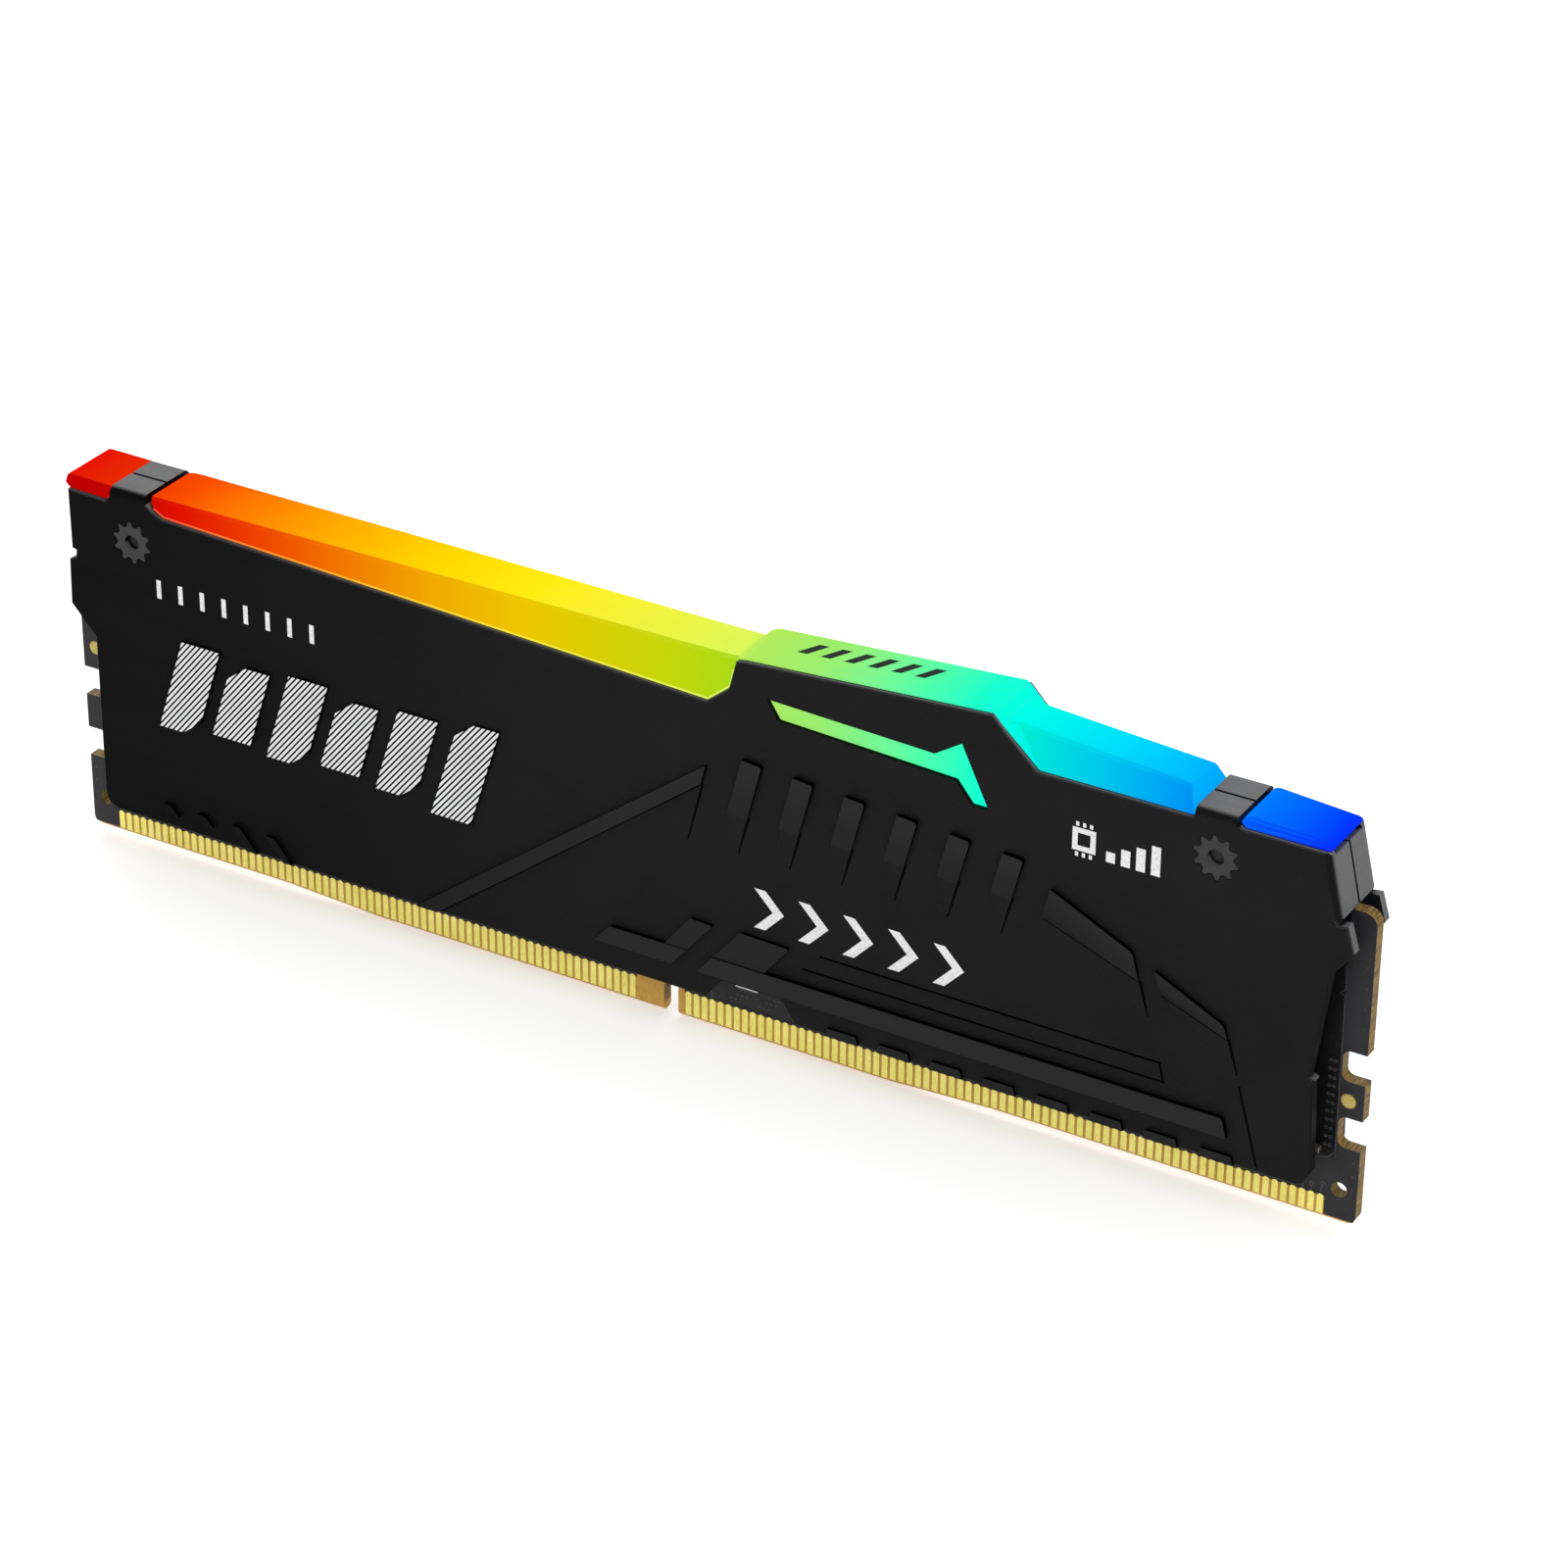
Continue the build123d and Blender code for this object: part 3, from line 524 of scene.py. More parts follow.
class Shape:
    """Closed solids gathered into one mesh. Points are in millimetres."""

    def __init__(self):
        self.points, self.faces = [], []

    def slab(self, outline, shift):
        """A closed slab from a flat outline in space, swept along a shift."""
        start, count = len(self.points), len(outline)
        base = [Vector(point) for point in outline]
        self.points += base + [point + Vector(shift) for point in base]
        self.faces.append([start + i for i in range(count)][::-1])
        self.faces.append([start + count + i for i in range(count)])
        for i in range(count):
            j = (i + 1) % count
            self.faces.append([start + i, start + j, start + count + j, start + count + i])

    def plate(self, outline, side, face, proud=INK, sink=SINK):
        """A thin plate on an upright face: an (x, z) outline, from just below the face
        at this |Y| to just above it, on the front (-1) or back (+1)."""
        flat = [(x, side * (face - sink), z) for x, z in outline]
        self.slab(flat, (0, side * (proud + sink), 0))

    def washer(self, centre, outer, inner, side, face, proud, sides=12, sink=SINK):
        """A flat ring on an upright face, closed all round."""
        start = len(self.points)
        x, z = centre
        for radius in (outer, inner):
            for reach in (face - sink, face + proud):
                for turn in range(sides):
                    angle = math.tau * turn / sides
                    self.points.append(Vector((x + radius * math.cos(angle), side * reach,
                                               z + radius * math.sin(angle))))
        rows = [start + row * sides for row in range(4)]
        for a, b in ((0, 1), (1, 3), (3, 2), (2, 0)):
            for i in range(sides):
                j = (i + 1) % sides
                self.faces.append([rows[a] + i, rows[a] + j, rows[b] + j, rows[b] + i])

    def track(self, route, width, side, face, proud):
        """A raised copper run along (x, z) points, mitred where it turns."""
        left, right = [], []
        for i, here in enumerate(route):
            before = route[max(i - 1, 0)]
            after = route[min(i + 1, len(route) - 1)]
            run = Vector((after[0] - before[0], after[1] - before[1])).normalized()
            across = Vector((-run.y, run.x)) * width / 2
            left.append((here[0] + across.x, here[1] + across.y))
            right.append((here[0] - across.x, here[1] - across.y))
        self.plate(left + right[::-1], side, face, proud)

    def piece(self, name, material, slot, round_edges=0.0):
        """The finished object, riding on the module."""
        mesh = bpy.data.meshes.new(name)
        mesh.from_pydata([point * MM for point in self.points], [], self.faces)
        work = bmesh.new()
        work.from_mesh(mesh)
        bmesh.ops.recalc_face_normals(work, faces=work.faces)
        work.to_mesh(mesh)
        work.free()
        obj = bpy.data.objects.new(name, mesh)
        bpy.context.scene.collection.objects.link(obj)
        mesh.materials.append(material)
        if round_edges:
            bevel = obj.modifiers.new("rounded", "BEVEL")
            bevel.width = round_edges * MM
            bevel.segments = 2
            bevel.limit_method = "ANGLE"
        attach(obj, BODY)
        return obj


def leaning_box(x, z, width, height, lean):
    """A parallelogram whose top is pushed along by the lean."""
    return [(x, z), (x + width, z), (x + width + lean, z + height), (x + lean, z + height)]


def rounded_box(x, z, width, height, radius, steps=5):
    """A rectangle with round corners, from its low corner."""
    points = []
    corners = ((x + width - radius, z + height - radius), (x + radius, z + height - radius),
               (x + radius, z + radius), (x + width - radius, z + radius))
    for quarter, (cx, cz) in enumerate(corners):
        for step in range(steps + 1):
            angle = math.pi / 2 * (quarter + step / steps)
            points.append((cx + radius * math.cos(angle), cz + radius * math.sin(angle)))
    return points


def kept_part(outline, normal, limit, keep_above):
    """The part of a convex outline on one side of a line."""
    def over(point):
        height = point[0] * normal[0] + point[1] * normal[1] - limit
        return height if keep_above else -height
    kept = []
    for a, b in zip(outline, outline[1:] + outline[:1]):
        if over(a) >= 0:
            kept.append(a)
        if (over(a) >= 0) != (over(b) >= 0):
            share = over(a) / (over(a) - over(b))
            kept.append(tuple(p + (q - p) * share for p, q in zip(a, b)))
    return kept


def hatching(outline, pitch, width, angle):
    """Slanted stripes that fill a convex outline."""
    normal = (-math.sin(angle), math.cos(angle))
    heights = [x * normal[0] + z * normal[1] for x, z in outline]
    stripes = []
    for index in range(math.ceil(min(heights) / pitch), math.ceil(max(heights) / pitch)):
        stripe = kept_part(outline, normal, index * pitch, True)
        stripe = kept_part(stripe, normal, index * pitch + width, False)
        if len(stripe) > 2:
            stripes.append(stripe)
    return stripes


def islands(node):
    """The boxes of the separate bodies in a CAD node, in millimetres."""
    work = bmesh.new()
    work.from_mesh(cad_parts[node].data)
    bmesh.ops.remove_doubles(work, verts=work.verts, dist=1e-7)
    waiting, boxes = set(work.verts), []
    while waiting:
        group, edge = set(), [waiting.pop()]
        while edge:
            vertex = edge.pop()
            group.add(vertex)
            near = {e.other_vert(vertex) for e in vertex.link_edges} & waiting
            waiting -= near
            edge += near
        spans = [(min(v.co[k] for v in group) / MM, max(v.co[k] for v in group) / MM)
                 for k in range(3)]
        boxes.append(spans)
    work.free()
    return sorted(boxes)


# ---------------------------------------------------------------- printed marks

EMBLEM_LEFT, EMBLEM_FOOT = -55.6, 15.4
EMBLEM_BLOCKS = (9.6, 8.0, 9.2, 7.6, 8.8, 10.4)   # heights of the leaning blocks
BLOCK_WIDTH, BLOCK_STEP, BLOCK_LEAN, BLOCK_CUT = 4.3, 6.1, 0.32, 1.6
EMBLEM_PROUD = 0.22                   # how far the blocks stand out of the sheet
EMBLEM_MARGIN = 0.04                  # the black left round the hatching of a block
HATCH_PITCH, HATCH_LINE, HATCH_ANGLE = 0.42, 0.25, math.radians(50)


def emblem_blocks(grow=0.0):
    """Leaning blocks in a row that falls and rises, cut by turns at the lower right
    and at the upper left corner."""
    blocks, cut = [], BLOCK_CUT
    for index, height in enumerate(EMBLEM_BLOCKS):
        x = EMBLEM_LEFT + index * BLOCK_STEP - grow
        z = EMBLEM_FOOT + (max(EMBLEM_BLOCKS) - height) / 2 - grow
        width, tall = BLOCK_WIDTH + 2 * grow, height + 2 * grow
        lean, short = tall * BLOCK_LEAN, (tall - cut) * BLOCK_LEAN
        if index % 2 == 0:
            blocks.append([(x, z), (x + width - cut, z),
                           (x + width + cut * BLOCK_LEAN, z + cut),
                           (x + width + lean, z + tall), (x + lean, z + tall)])
        else:
            blocks.append([(x, z), (x + width, z), (x + width + lean, z + tall),
                           (x + lean + cut, z + tall), (x + short, z + tall - cut)])
    return blocks


SHADOW_STEP = 0.09                   # how far the painted shadow shows up and to the right
TICK_COUNT, TICK_STEP, TICK_SIZE = 8, 2.45, (0.5, 1.9)
TICK_LEFT, TICK_FOOT = -55.2, 29.2
ARROW_COUNT, ARROW_STEP, ARROW_STROKE = 5, 4.5, 1.15
ARROW_LEFT, ARROW_FOOT = 9.0, 13.8
ARROW_REACH, ARROW_HALF = 1.9, 2.0    # how far a head points, and half its height
CHIP_LEFT, CHIP_FOOT, CHIP_SIZE, CHIP_LINE = 39.9, 31.1, 2.2, 0.5
PIN_COUNT, PIN_START, PIN_STEP = 3, 0.3, 0.65
PIN_SIZE, PIN_GAP = (0.3, 0.4), 0.15  # the gap is between a pin and the frame
SIGNAL_COUNT, SIGNAL_START, SIGNAL_STEP, SIGNAL_DROP = 4, 3.2, 1.4, 0.3
SIGNAL_WIDTH, SIGNAL_HEIGHT, SIGNAL_RISE = 0.85, 1.0, 0.6


def add_mark(name, outlines, ink, ground):
    """White printing over a black copy of itself, shifted so that it shows along its upper
    right as a painted shadow.
    """
    white, dark = Shape(), Shape()
    for outline in outlines:
        white.plate(outline, -1, SHEET_FACE, INK * 1.5)
        # Painted shadow: two black copies, shifted up and to the right.
        for share in (0.5, 1.0):
            step = SHADOW_STEP * share
            dark.plate([(x + step, z + step) for x, z in outline], -1, SHEET_FACE,
                       INK / 2 * share)
    white.piece(name, ink, "spreader")
    dark.piece(f"{name}_painted_shadow", ground, "spreader")


def add_marks(ink, ground):
    """Plain, wordless marks on the front sheet: raised black blocks with hatched tops,
    ticks above them, a row of arrowheads and a chip symbol."""
    base, hatch = Shape(), Shape()
    for block in emblem_blocks(grow=EMBLEM_MARGIN):
        base.plate(block, -1, SHEET_FACE, EMBLEM_PROUD)
    for block in emblem_blocks():
        for stripe in hatching(block, HATCH_PITCH, HATCH_LINE, HATCH_ANGLE):
            hatch.plate(stripe, -1, SHEET_FACE + EMBLEM_PROUD, INK)
    base.piece("emblem_ground", ground, "spreader")
    hatch.piece("emblem_hatching", ink, "spreader")
    ticks = [leaning_box(TICK_LEFT + TICK_STEP * index, TICK_FOOT, *TICK_SIZE, 0)
             for index in range(TICK_COUNT)]
    add_mark("tick_row", ticks, ink, ground)
    arrows = [arrowhead(ARROW_LEFT + ARROW_STEP * index, ARROW_FOOT)
              for index in range(ARROW_COUNT)]
    add_mark("arrow_row", arrows, ink, ground)
    add_mark("chip_symbol", chip_outlines(CHIP_LEFT, CHIP_FOOT), ink, ground)


def arrowhead(x, z):
    """A thick bent stroke that points right, from its low left corner."""
    middle, top = z + ARROW_HALF, z + 2 * ARROW_HALF
    return [(x, z), (x + ARROW_STROKE, z), (x + ARROW_STROKE + ARROW_REACH, middle),
            (x + ARROW_STROKE, top), (x, top), (x + ARROW_REACH, middle)]


def chip_outlines(x, z):
    """A square frame with three pins above and below, and four rising bars beside it."""
    size, line = CHIP_SIZE, CHIP_LINE
    boxes = [(x, z, size, line), (x, z + size - line, size, line),
             (x, z + line, line, size - 2 * line),
             (x + size - line, z + line, line, size - 2 * line)]
    for index in range(PIN_COUNT):
        along = x + PIN_START + index * PIN_STEP
        boxes += [(along, z - PIN_GAP - PIN_SIZE[1], *PIN_SIZE),
                  (along, z + size + PIN_GAP, *PIN_SIZE)]
    boxes += [(x + SIGNAL_START + index * SIGNAL_STEP, z - SIGNAL_DROP, SIGNAL_WIDTH,
               SIGNAL_HEIGHT + SIGNAL_RISE * index) for index in range(SIGNAL_COUNT)]
    return [leaning_box(*box, 0) for box in boxes]


SLASH_COUNT, SLASH_LEFT, SLASH_STEP = 6, 11.6, 2.3
SLASH_HALF, SLASH_WIDTH, SLASH_LEAN = 1.0, 1.0, 1.1


def ridge_height(x):
    """How high the top of the light bar's ridge is."""
    slope = (RIDGE_END[1] - RIDGE_START[1]) / (RIDGE_END[0] - RIDGE_START[0])
    return RIDGE_START[1] + (x - RIDGE_START[0]) * slope


def add_ridge_slashes(ink):
    """Dark slanted dashes printed along the top of the light bar's ridge."""
    shape = Shape()
    for index in range(SLASH_COUNT):
        dash = leaning_box(SLASH_LEFT + SLASH_STEP * index, -SLASH_HALF, SLASH_WIDTH,
                           2 * SLASH_HALF, SLASH_LEAN)
        flat = [(x, y, ridge_height(x) - SINK) for x, y in dash]
        shape.slab(flat, (0, 0, SINK + INK))
    shape.piece("ridge_slashes", ink, "diffuser")


LIGHT_FACE = limits("light_diffuser")[1].y
BAR_FOOT = ((-55.3, 38.1), (-54.2, 37.5), (4.0, 35.06), (6.2, 36.88), (6.6, 38.6))
RIM_WIDTH, RIM_PROUD = 0.18, 0.012


def add_bar_rims(glow):
    """The thin bright line where light leaks from the lower edge of the long bar."""
    for side_name, side in SIDES.items():
        shape = Shape()
        route = [(x, z + RIM_WIDTH / 2) for x, z in BAR_FOOT]
        shape.track(route, RIM_WIDTH, side, LIGHT_FACE, RIM_PROUD)
        shape.piece(f"bar_rim_{side_name}", glow, "diffuser")


LABEL_LEFT, LABEL_FOOT, LABEL_WIDTH, LABEL_HEIGHT = -55.0, 12.5, 38.0, 17.0
LABEL_CORNER, LABEL_PROUD = 1.2, 0.02
BORDER_INSET, BORDER_LINE = 0.9, 0.22
STRIPE_COUNT, STRIPE_STEP, STRIPE_WIDTH = 3, 4.2, 2.0
STRIPE_LENGTH, STRIPE_LOSS = 20.0, 4  # the lowest, and how much each next one loses
STRIPE_LEFT, STRIPE_LOW = LABEL_LEFT + 2.4, LABEL_FOOT + 3.2


def label_ring(inset, corner):
    """The label's outline, drawn in by an inset."""
    return rounded_box(LABEL_LEFT + inset, LABEL_FOOT + inset, LABEL_WIDTH - 2 * inset,
                       LABEL_HEIGHT - 2 * inset, corner)


def add_back_label(film, ink):
    """A plain label on the back sheet, with a printed border and three grey stripes."""
    label, border = Shape(), Shape()
    label.plate(label_ring(0, LABEL_CORNER), 1, SHEET_FACE, LABEL_PROUD)
    label.piece("back_label", film, "spreader")
    outer = label_ring(BORDER_INSET, LABEL_CORNER)
    inner = label_ring(BORDER_INSET + BORDER_LINE, LABEL_CORNER - BORDER_LINE)
    face = SHEET_FACE + LABEL_PROUD
    for i in range(len(outer)):
        j = (i + 1) % len(outer)
        border.plate([outer[i], outer[j], inner[j], inner[i]], 1, face, INK)
    for row in range(STRIPE_COUNT):
        stripe = leaning_box(STRIPE_LEFT, STRIPE_LOW + STRIPE_STEP * row,
                             STRIPE_LENGTH - STRIPE_LOSS * row, STRIPE_WIDTH, 0)
        border.plate(stripe, 1, face, INK)
    border.piece("back_label_print", ink, "spreader")


# ---------------------------------------------------------------- cogs

COG_PLACES = ((-57.85, 34.15), (53.1, 34.13))
COG_OUTER, COG_ROOT, COG_BORE, COG_TEETH = 2.2, 1.72, 0.76, 10
COG_FLOOR = SHEET_FACE - 0.12         # the recess in the sheet
COG_FACE = SHEET_FACE - 0.055         # the cog's own face, still below the sheet's
COG_GAP = 0.09                        # between a cog and the wall of its recess
COG_ROUND = 0.03                      # how softly its edges are broken
TOOTH_SHARES = (0.3, 0.55, 0.75)      # where a tooth's gap, rise and top end


def cog_outline(x, z, outer, root):
    """Blunt teeth around a place, four points to a tooth."""
    points = []
    gap, flank, top = TOOTH_SHARES
    for tooth in range(COG_TEETH):
        for share, radius in ((0.0, root), (gap, root), (flank, outer), (top, outer)):
            angle = math.tau * (tooth + share) / COG_TEETH
            points.append((x + radius * math.cos(angle), z + radius * math.sin(angle)))
    return points


def add_cogs(satin):
    """A toothed ring laid in each recess of both sheets, round an open bore."""
    for side_name, side in SIDES.items():
        shape = Shape()
        for x, z in COG_PLACES:
            outer = cog_outline(x, z, COG_OUTER - COG_GAP, COG_ROOT - COG_GAP)
            bore = [(x + COG_BORE * math.cos(math.atan2(pz - z, px - x)),
                     z + COG_BORE * math.sin(math.atan2(pz - z, px - x)))
                    for px, pz in outer]
            start, count = len(shape.points), len(outer)
            for ring, reach in ((outer, COG_FLOOR), (outer, COG_FACE), (bore, COG_FACE),
                                (bore, COG_FLOOR)):
                shape.points += [Vector((px, side * reach, pz)) for px, pz in ring]
            for row in range(4):
                for i in range(count):
                    j = (i + 1) % count
                    here = start + row * count
                    there = start + (row + 1) % 4 * count
                    shape.faces.append([here + i, here + j, there + j, there + i])
        shape.piece(f"cogs_{side_name}", satin, "spreader", round_edges=COG_ROUND)


# ---------------------------------------------------------------- board detail

CONTACT_PITCH, FIRST_CONTACT, CONTACT_SLOTS = 0.85, -63.325, 150
KEY_SLOTS = range(69, 75)             # the places that the key notch takes
WINDOW_LEFT, WINDOW_RIGHT = 3.5, 13.6  # the span of the sheet's open window
COPPER_STEP = 0.01                    # how far masked copper lifts the mask
RUN_FOOT, RUN_WIDTH = 2.96, 0.14      # where a run leaves its contact
RUN_STUB, RUN_SHORTEST, RUN_STEP = 0.25, 0.45, 0.3
RUN_JOG = 0.16                        # how far a run leans to either side
RUN_RING, RING_RISE = (0.22, 0.1), 0.2
# The edge of the copper plane at an end of the board, as (x, z) points.
PLANE_EDGE = ((64.21, 25.8), (64.3, 23.45), (63.78, 23.05), (64.28, 22.85),
              (64.4, 7.4), (63.8, 6.7), (62.4, 6.3))
PLANE_WIDTH = 0.1
LIP_LOW, LIP_HIGH = 2.65, 3.0         # the mask between the round tops of the contacts


def add_board_runs(mask):
    """Masked copper runs that climb from the contacts and end in a via ring, none of
    them in the window, and the outline of the copper plane at both ends."""
    for side_name, side in SIDES.items():
        shape = Shape()
        for slot in range(CONTACT_SLOTS):
            if slot in KEY_SLOTS:
                continue
            x = FIRST_CONTACT + slot * CONTACT_PITCH
            if WINDOW_LEFT < x < WINDOW_RIGHT:
                continue
            top = RUN_FOOT + RUN_SHORTEST + RUN_STEP * (slot * 5 % 4)
            end_x = x + RUN_JOG * (slot % 3 - 1)
            shape.track([(x, RUN_FOOT), (x, RUN_FOOT + RUN_STUB), (end_x, top)], RUN_WIDTH,
                        side, MASK_FACE, COPPER_STEP)
            shape.washer((end_x, top + RING_RISE), *RUN_RING, side, MASK_FACE, COPPER_STEP)
        for end in (-1, 1):
            route = [(end * x, z) for x, z in PLANE_EDGE]
            shape.track(route, PLANE_WIDTH, side, MASK_FACE, COPPER_STEP)
        shape.piece(f"board_runs_{side_name}", mask, "solder_mask")


def add_mask_lip(mask):
    """The mask's lower edge, which runs between the round tops of the contacts."""
    left = FIRST_CONTACT - CONTACT_PITCH / 2
    key_low = FIRST_CONTACT + (KEY_SLOTS[0] - 0.5) * CONTACT_PITCH
    key_high = FIRST_CONTACT + (KEY_SLOTS[-1] + 0.5) * CONTACT_PITCH
    for side_name, side in SIDES.items():
        shape = Shape()
        for start, end in ((left, key_low), (key_high, -left)):
            shape.plate(leaning_box(start, LIP_LOW, end - start, LIP_HIGH - LIP_LOW, 0),
                        side, MASK_FACE, 0.0)
        shape.piece(f"mask_lip_{side_name}", mask, "solder_mask")


# Tented vias: the radii of a ring and how far it stands out, and how they are laid out.
WINDOW_RING, WINDOW_GRID, WINDOW_STEP = (0.12, 0.05), (18, 6), (0.5, 0.56)
WINDOW_FIRST, WINDOW_SHIFT = (4.4, 3.6), 0.2
END_RING, END_GRID, END_STEP, END_PROUD = (0.17, 0.08), (2, 11), (0.42, 0.84), 0.02
END_FIRST = (63.42, 7.9)
EDGE_RING, EDGE_X, EDGE_PROUD = (0.11, 0.05), 66.12, 0.015
EDGE_HEIGHTS = (4.2, 5.4, 6.8, 20.1, 22.1, 24.1, 26.1)


def window_via_places():
    """A grid with odd rows shifted and about half of the places left out."""
    for column in range(WINDOW_GRID[0]):
        for row in range(WINDOW_GRID[1]):
            if (column * 5 + row * 7) % 6 >= 3:
                yield (WINDOW_FIRST[0] + WINDOW_STEP[0] * column + WINDOW_SHIFT * (row % 2),
                       WINDOW_FIRST[1] + WINDOW_STEP[1] * row)


def add_vias(mask):
    """Tented vias in the open window of the sheet and near both ends, and small ones
    along the outer edge."""
    for side_name, side in SIDES.items():
        tented = Shape()
        for place in window_via_places():
            tented.washer(place, *WINDOW_RING, side, MASK_FACE, COPPER_STEP)
        for end in (-1, 1):
            for row in range(END_GRID[1]):
                for column in range(END_GRID[0]):
                    place = (end * (END_FIRST[0] + END_STEP[0] * column),
                             END_FIRST[1] + END_STEP[1] * row)
                    tented.washer(place, *END_RING, side, MASK_FACE, END_PROUD)
            for z in EDGE_HEIGHTS:
                tented.washer((end * EDGE_X, z), *EDGE_RING, side, MASK_FACE, EDGE_PROUD)
        tented.piece(f"tented_vias_{side_name}", mask, "solder_mask")


LEGEND_DASH, LEGEND_PROUD = (5.4, 4.95, 2.3, 0.18), 0.012


def add_legend(ink):
    """The white printed dash on the front of the board, in the sheet's lower window."""
    shape = Shape()
    shape.plate(leaning_box(*LEGEND_DASH, 0), -1, MASK_FACE, LEGEND_PROUD)
    shape.piece("board_legend", ink, "solder_mask")


CAP_SHARE, CAP_PROUD = 0.24, 0.015    # a cap's share of the length, and its thickness
CAP_ROUND = 0.02                      # how softly its edges are broken


def end_caps(spans):
    """The (x, z) outlines of the two caps on a small part, across its longer way."""
    (x0, x1), _, (z0, z1) = spans
    lengthwise = x1 - x0 >= z1 - z0
    start, end = (x0, x1) if lengthwise else (z0, z1)
    cap = (end - start) * CAP_SHARE
    for low, high in ((start - CAP_PROUD, start + cap), (end - cap, end + CAP_PROUD)):
        if lengthwise:
            bottom, top = z0 - CAP_PROUD, z1 + CAP_PROUD
            yield [(low, bottom), (high, bottom), (high, top), (low, top)]
        else:
            left, right = x0 - CAP_PROUD, x1 + CAP_PROUD
            yield [(left, low), (right, low), (right, high), (left, high)]


def add_terminals(metal):
    """Tinned end caps on every capacitor and resistor array. They stand out of the
    small part on its own side of the board, and not into the board."""
    for node, slot in (("capacitors_front", "capacitor"), ("capacitors_back", "capacitor"),
                       ("resistor_networks", "resistor")):
        shape = Shape()
        for spans in islands(node):
            near, far = spans[1]
            if far > 0:
                far += CAP_PROUD
            else:
                near -= CAP_PROUD
            for outline in end_caps(spans):
                shape.slab([(x, near, z) for x, z in outline], (0, far - near, 0))
        shape.piece(f"{node}_terminals", metal, slot, round_edges=CAP_ROUND)


# ---------------------------------------------------------------- camera and studio

AIM = (9.85, 0.0, 26.8)               # the point in the middle of the picture
DISTANCE = 438.15
AZIMUTH, ELEVATION, ROLL = (math.radians(turn) for turn in (30.188, 29.375, 0.539))
LENS, SENSOR = 115.08, 36.0


def add_camera():
    """The viewpoint: from the front right and above, hardly rolled."""
    data = bpy.data.cameras.new("camera")
    data.lens = LENS
    data.sensor_width = SENSOR
    data.clip_start = 0.01
    camera = bpy.data.objects.new("camera", data)
    back = Vector((math.sin(AZIMUTH) * math.cos(ELEVATION),
                   -math.cos(AZIMUTH) * math.cos(ELEVATION), math.sin(ELEVATION)))
    camera.location = (Vector(AIM) + back * DISTANCE) * MM
    turn = back.to_track_quat("Z", "Y") @ Quaternion((0, 0, 1), ROLL)
    camera.rotation_euler = turn.to_euler()
    bpy.context.scene.collection.objects.link(camera)
    bpy.context.scene.camera = camera


def add_softbox(name, towards, distance, size, brightness):
    """A square soft light that looks at the module from a direction, its distance and
    size in metres. Brightness is the light's own, as seen in a mirror, where the white
    surroundings are 1."""
    data = bpy.data.lights.new(name, "AREA")
    data.size = size
    data.energy = brightness * math.pi * size * size
    light = bpy.data.objects.new(name, data)
    direction = Vector(towards).normalized()
    light.location = Vector(AIM) * MM + direction * distance
    light.rotation_euler = direction.to_track_quat("Z", "Y").to_euler()
    bpy.context.scene.collection.objects.link(light)


def add_studio():
    """A white room, a softbox behind and above, a key from the right, and a floor."""
    world = bpy.data.worlds.new("white_room")
    world.use_nodes = True
    world.node_tree.nodes["Background"].inputs["Color"].default_value = grey(1.0)
    world.node_tree.nodes["Background"].inputs["Strength"].default_value = 1.0
    bpy.context.scene.world = world
    bpy.context.scene.view_settings.view_transform = "Standard"
    add_softbox("rim_softbox", towards=(-0.44, 0.75, 0.55), distance=0.6, size=0.5,
                brightness=2.3)
    add_softbox("key_softbox", towards=(0.8, -0.7, 0.9), distance=0.7, size=0.4,
                brightness=2.5)
    mesh = bpy.data.meshes.new("floor")
    half, level = 2.5, -0.0002
    mesh.from_pydata([(-half, -half, level), (half, -half, level), (half, half, level),
                      (-half, half, level)], [], [(0, 1, 2, 3)])
    floor = bpy.data.objects.new("floor", mesh)
    bpy.context.scene.collection.objects.link(floor)
    mesh.materials.append(studio_floor())


# ---------------------------------------------------------------- putting it together

def dress_nodes(finishes):
    """Gives every CAD node the finish whose name list it is on."""
    dressed = set()
    for material, names in finishes:
        for name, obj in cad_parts.items():
            if any(name.startswith(start) for start in names):
                obj.data.materials.clear()
                obj.data.materials.append(material)
                dressed.add(name)
    missed = sorted(set(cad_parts) - dressed)
    assert not missed, f"no finish for {missed}"


add_camera()
add_studio()

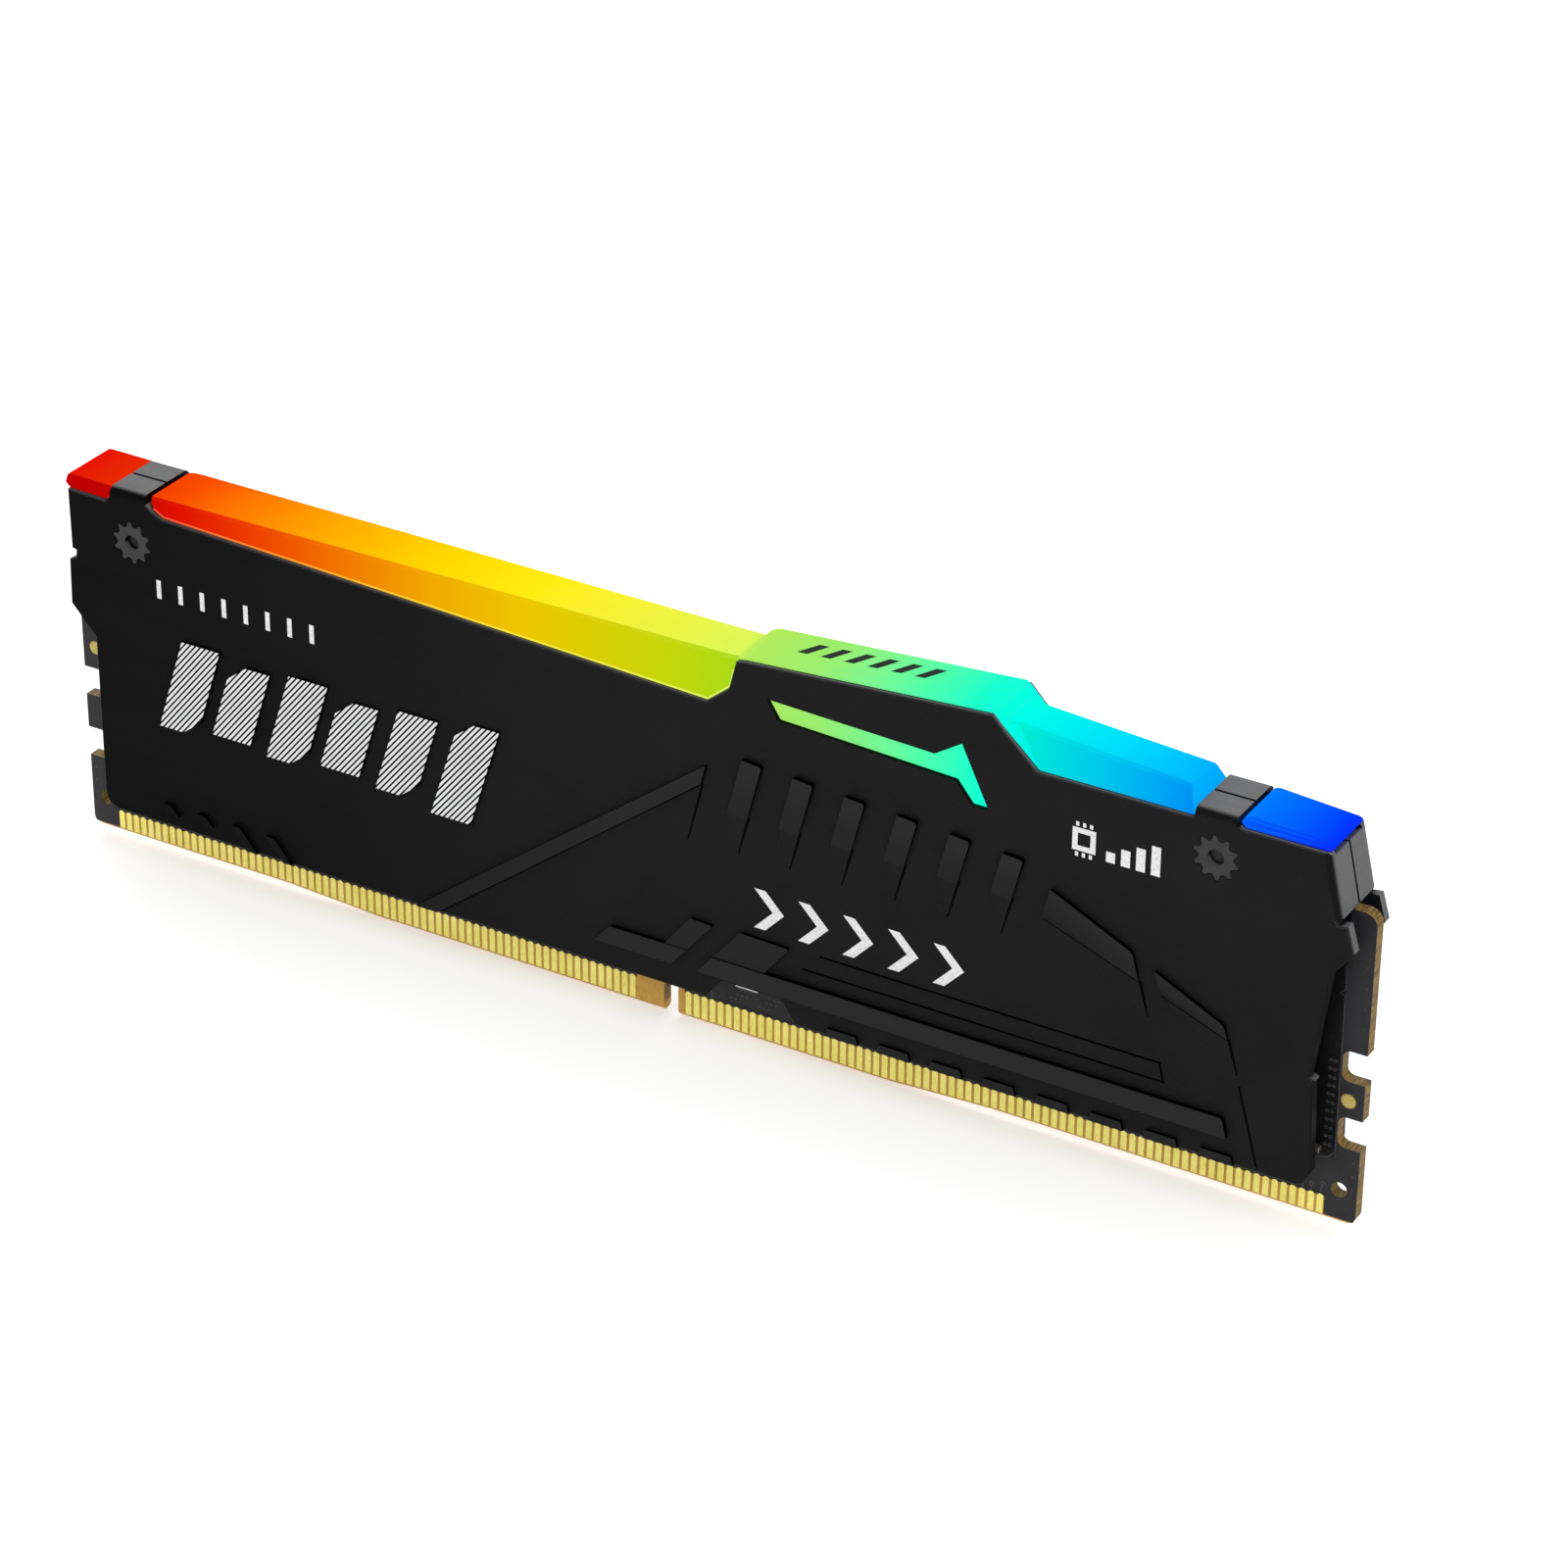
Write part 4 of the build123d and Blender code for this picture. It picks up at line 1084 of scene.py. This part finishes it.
sheet_finish = coated_sheet()
mask_finish = masked_board()
gold_finish = plated_gold("plated_gold", srgb(226, 215, 107), srgb(240, 230, 130),
                          srgb(216, 198, 94))
pad_finish = plated_gold("dull_gold", srgb(168, 150, 78), srgb(184, 166, 96),
                         srgb(150, 130, 60))
white_ink = printed_ink("white_ink", srgb(190, 190, 190), srgb(218, 218, 218))
black_ink = printed_ink("black_ink", srgb(2, 2, 2), srgb(5, 5, 5), 0.02)
grey_ink = printed_ink("grey_ink", srgb(96, 98, 100), srgb(120, 122, 124))
dark_ink = printed_ink("ridge_ink", srgb(6, 20, 10), srgb(14, 34, 20), 0.02)
covered_copper = printed_ink("masked_copper", srgb(34, 34, 36), srgb(56, 56, 59), 0.4)
tin = dull_metal("tinned_metal", srgb(150, 150, 148), srgb(196, 196, 192))

dress_nodes((
    (sheet_finish, ["heat_spreader"]),
    (lit_plastic(), ["light_diffuser"]),
    (mask_finish, ["solder_mask"]),
    (routed_laminate(), ["circuit_board"]),
    (gold_finish, ["contacts"]),
    (pad_finish, ["locating_pads"]),
    (moulded_package("memory_package", srgb(30, 30, 31), srgb(44, 44, 45)), ["memory_chip"]),
    (moulded_package("control_package", srgb(38, 38, 41), srgb(54, 54, 57)),
     ["power_controller", "serial_hub", "light_controller"]),
    (fired_ceramic("inductor_ferrite", srgb(64, 62, 62), srgb(92, 90, 88), 0.5),
     ["power_inductor"]),
    (fired_ceramic("capacitor_ceramic", srgb(120, 92, 66), srgb(160, 128, 96), 0.4),
     ["capacitors"]),
    (fired_ceramic("resistor_glaze", srgb(22, 22, 24), srgb(40, 40, 44), 0.25),
     ["resistor_networks"]),
    (fired_ceramic("emitter_body", srgb(226, 224, 206), srgb(246, 244, 226), 0.3),
     ["light_emitter"]),
    (soft_pad("thermal_silicone", srgb(120, 132, 142), srgb(150, 160, 168), 0.2, 0.01),
     ["thermal_pad"]),
    (soft_pad("spacer_foam", srgb(34, 34, 36), srgb(54, 54, 56), 0.35, 0.08),
     ["spacer_pad"]),
))

add_marks(white_ink, black_ink)
add_ridge_slashes(dark_ink)
add_bar_rims(lit_plastic("lit_rim", rim=True))
add_back_label(label_film(), grey_ink)
add_cogs(cog_plate())
add_board_runs(covered_copper)
add_mask_lip(mask_finish)
add_vias(covered_copper)
add_legend(white_ink)
add_terminals(tin)
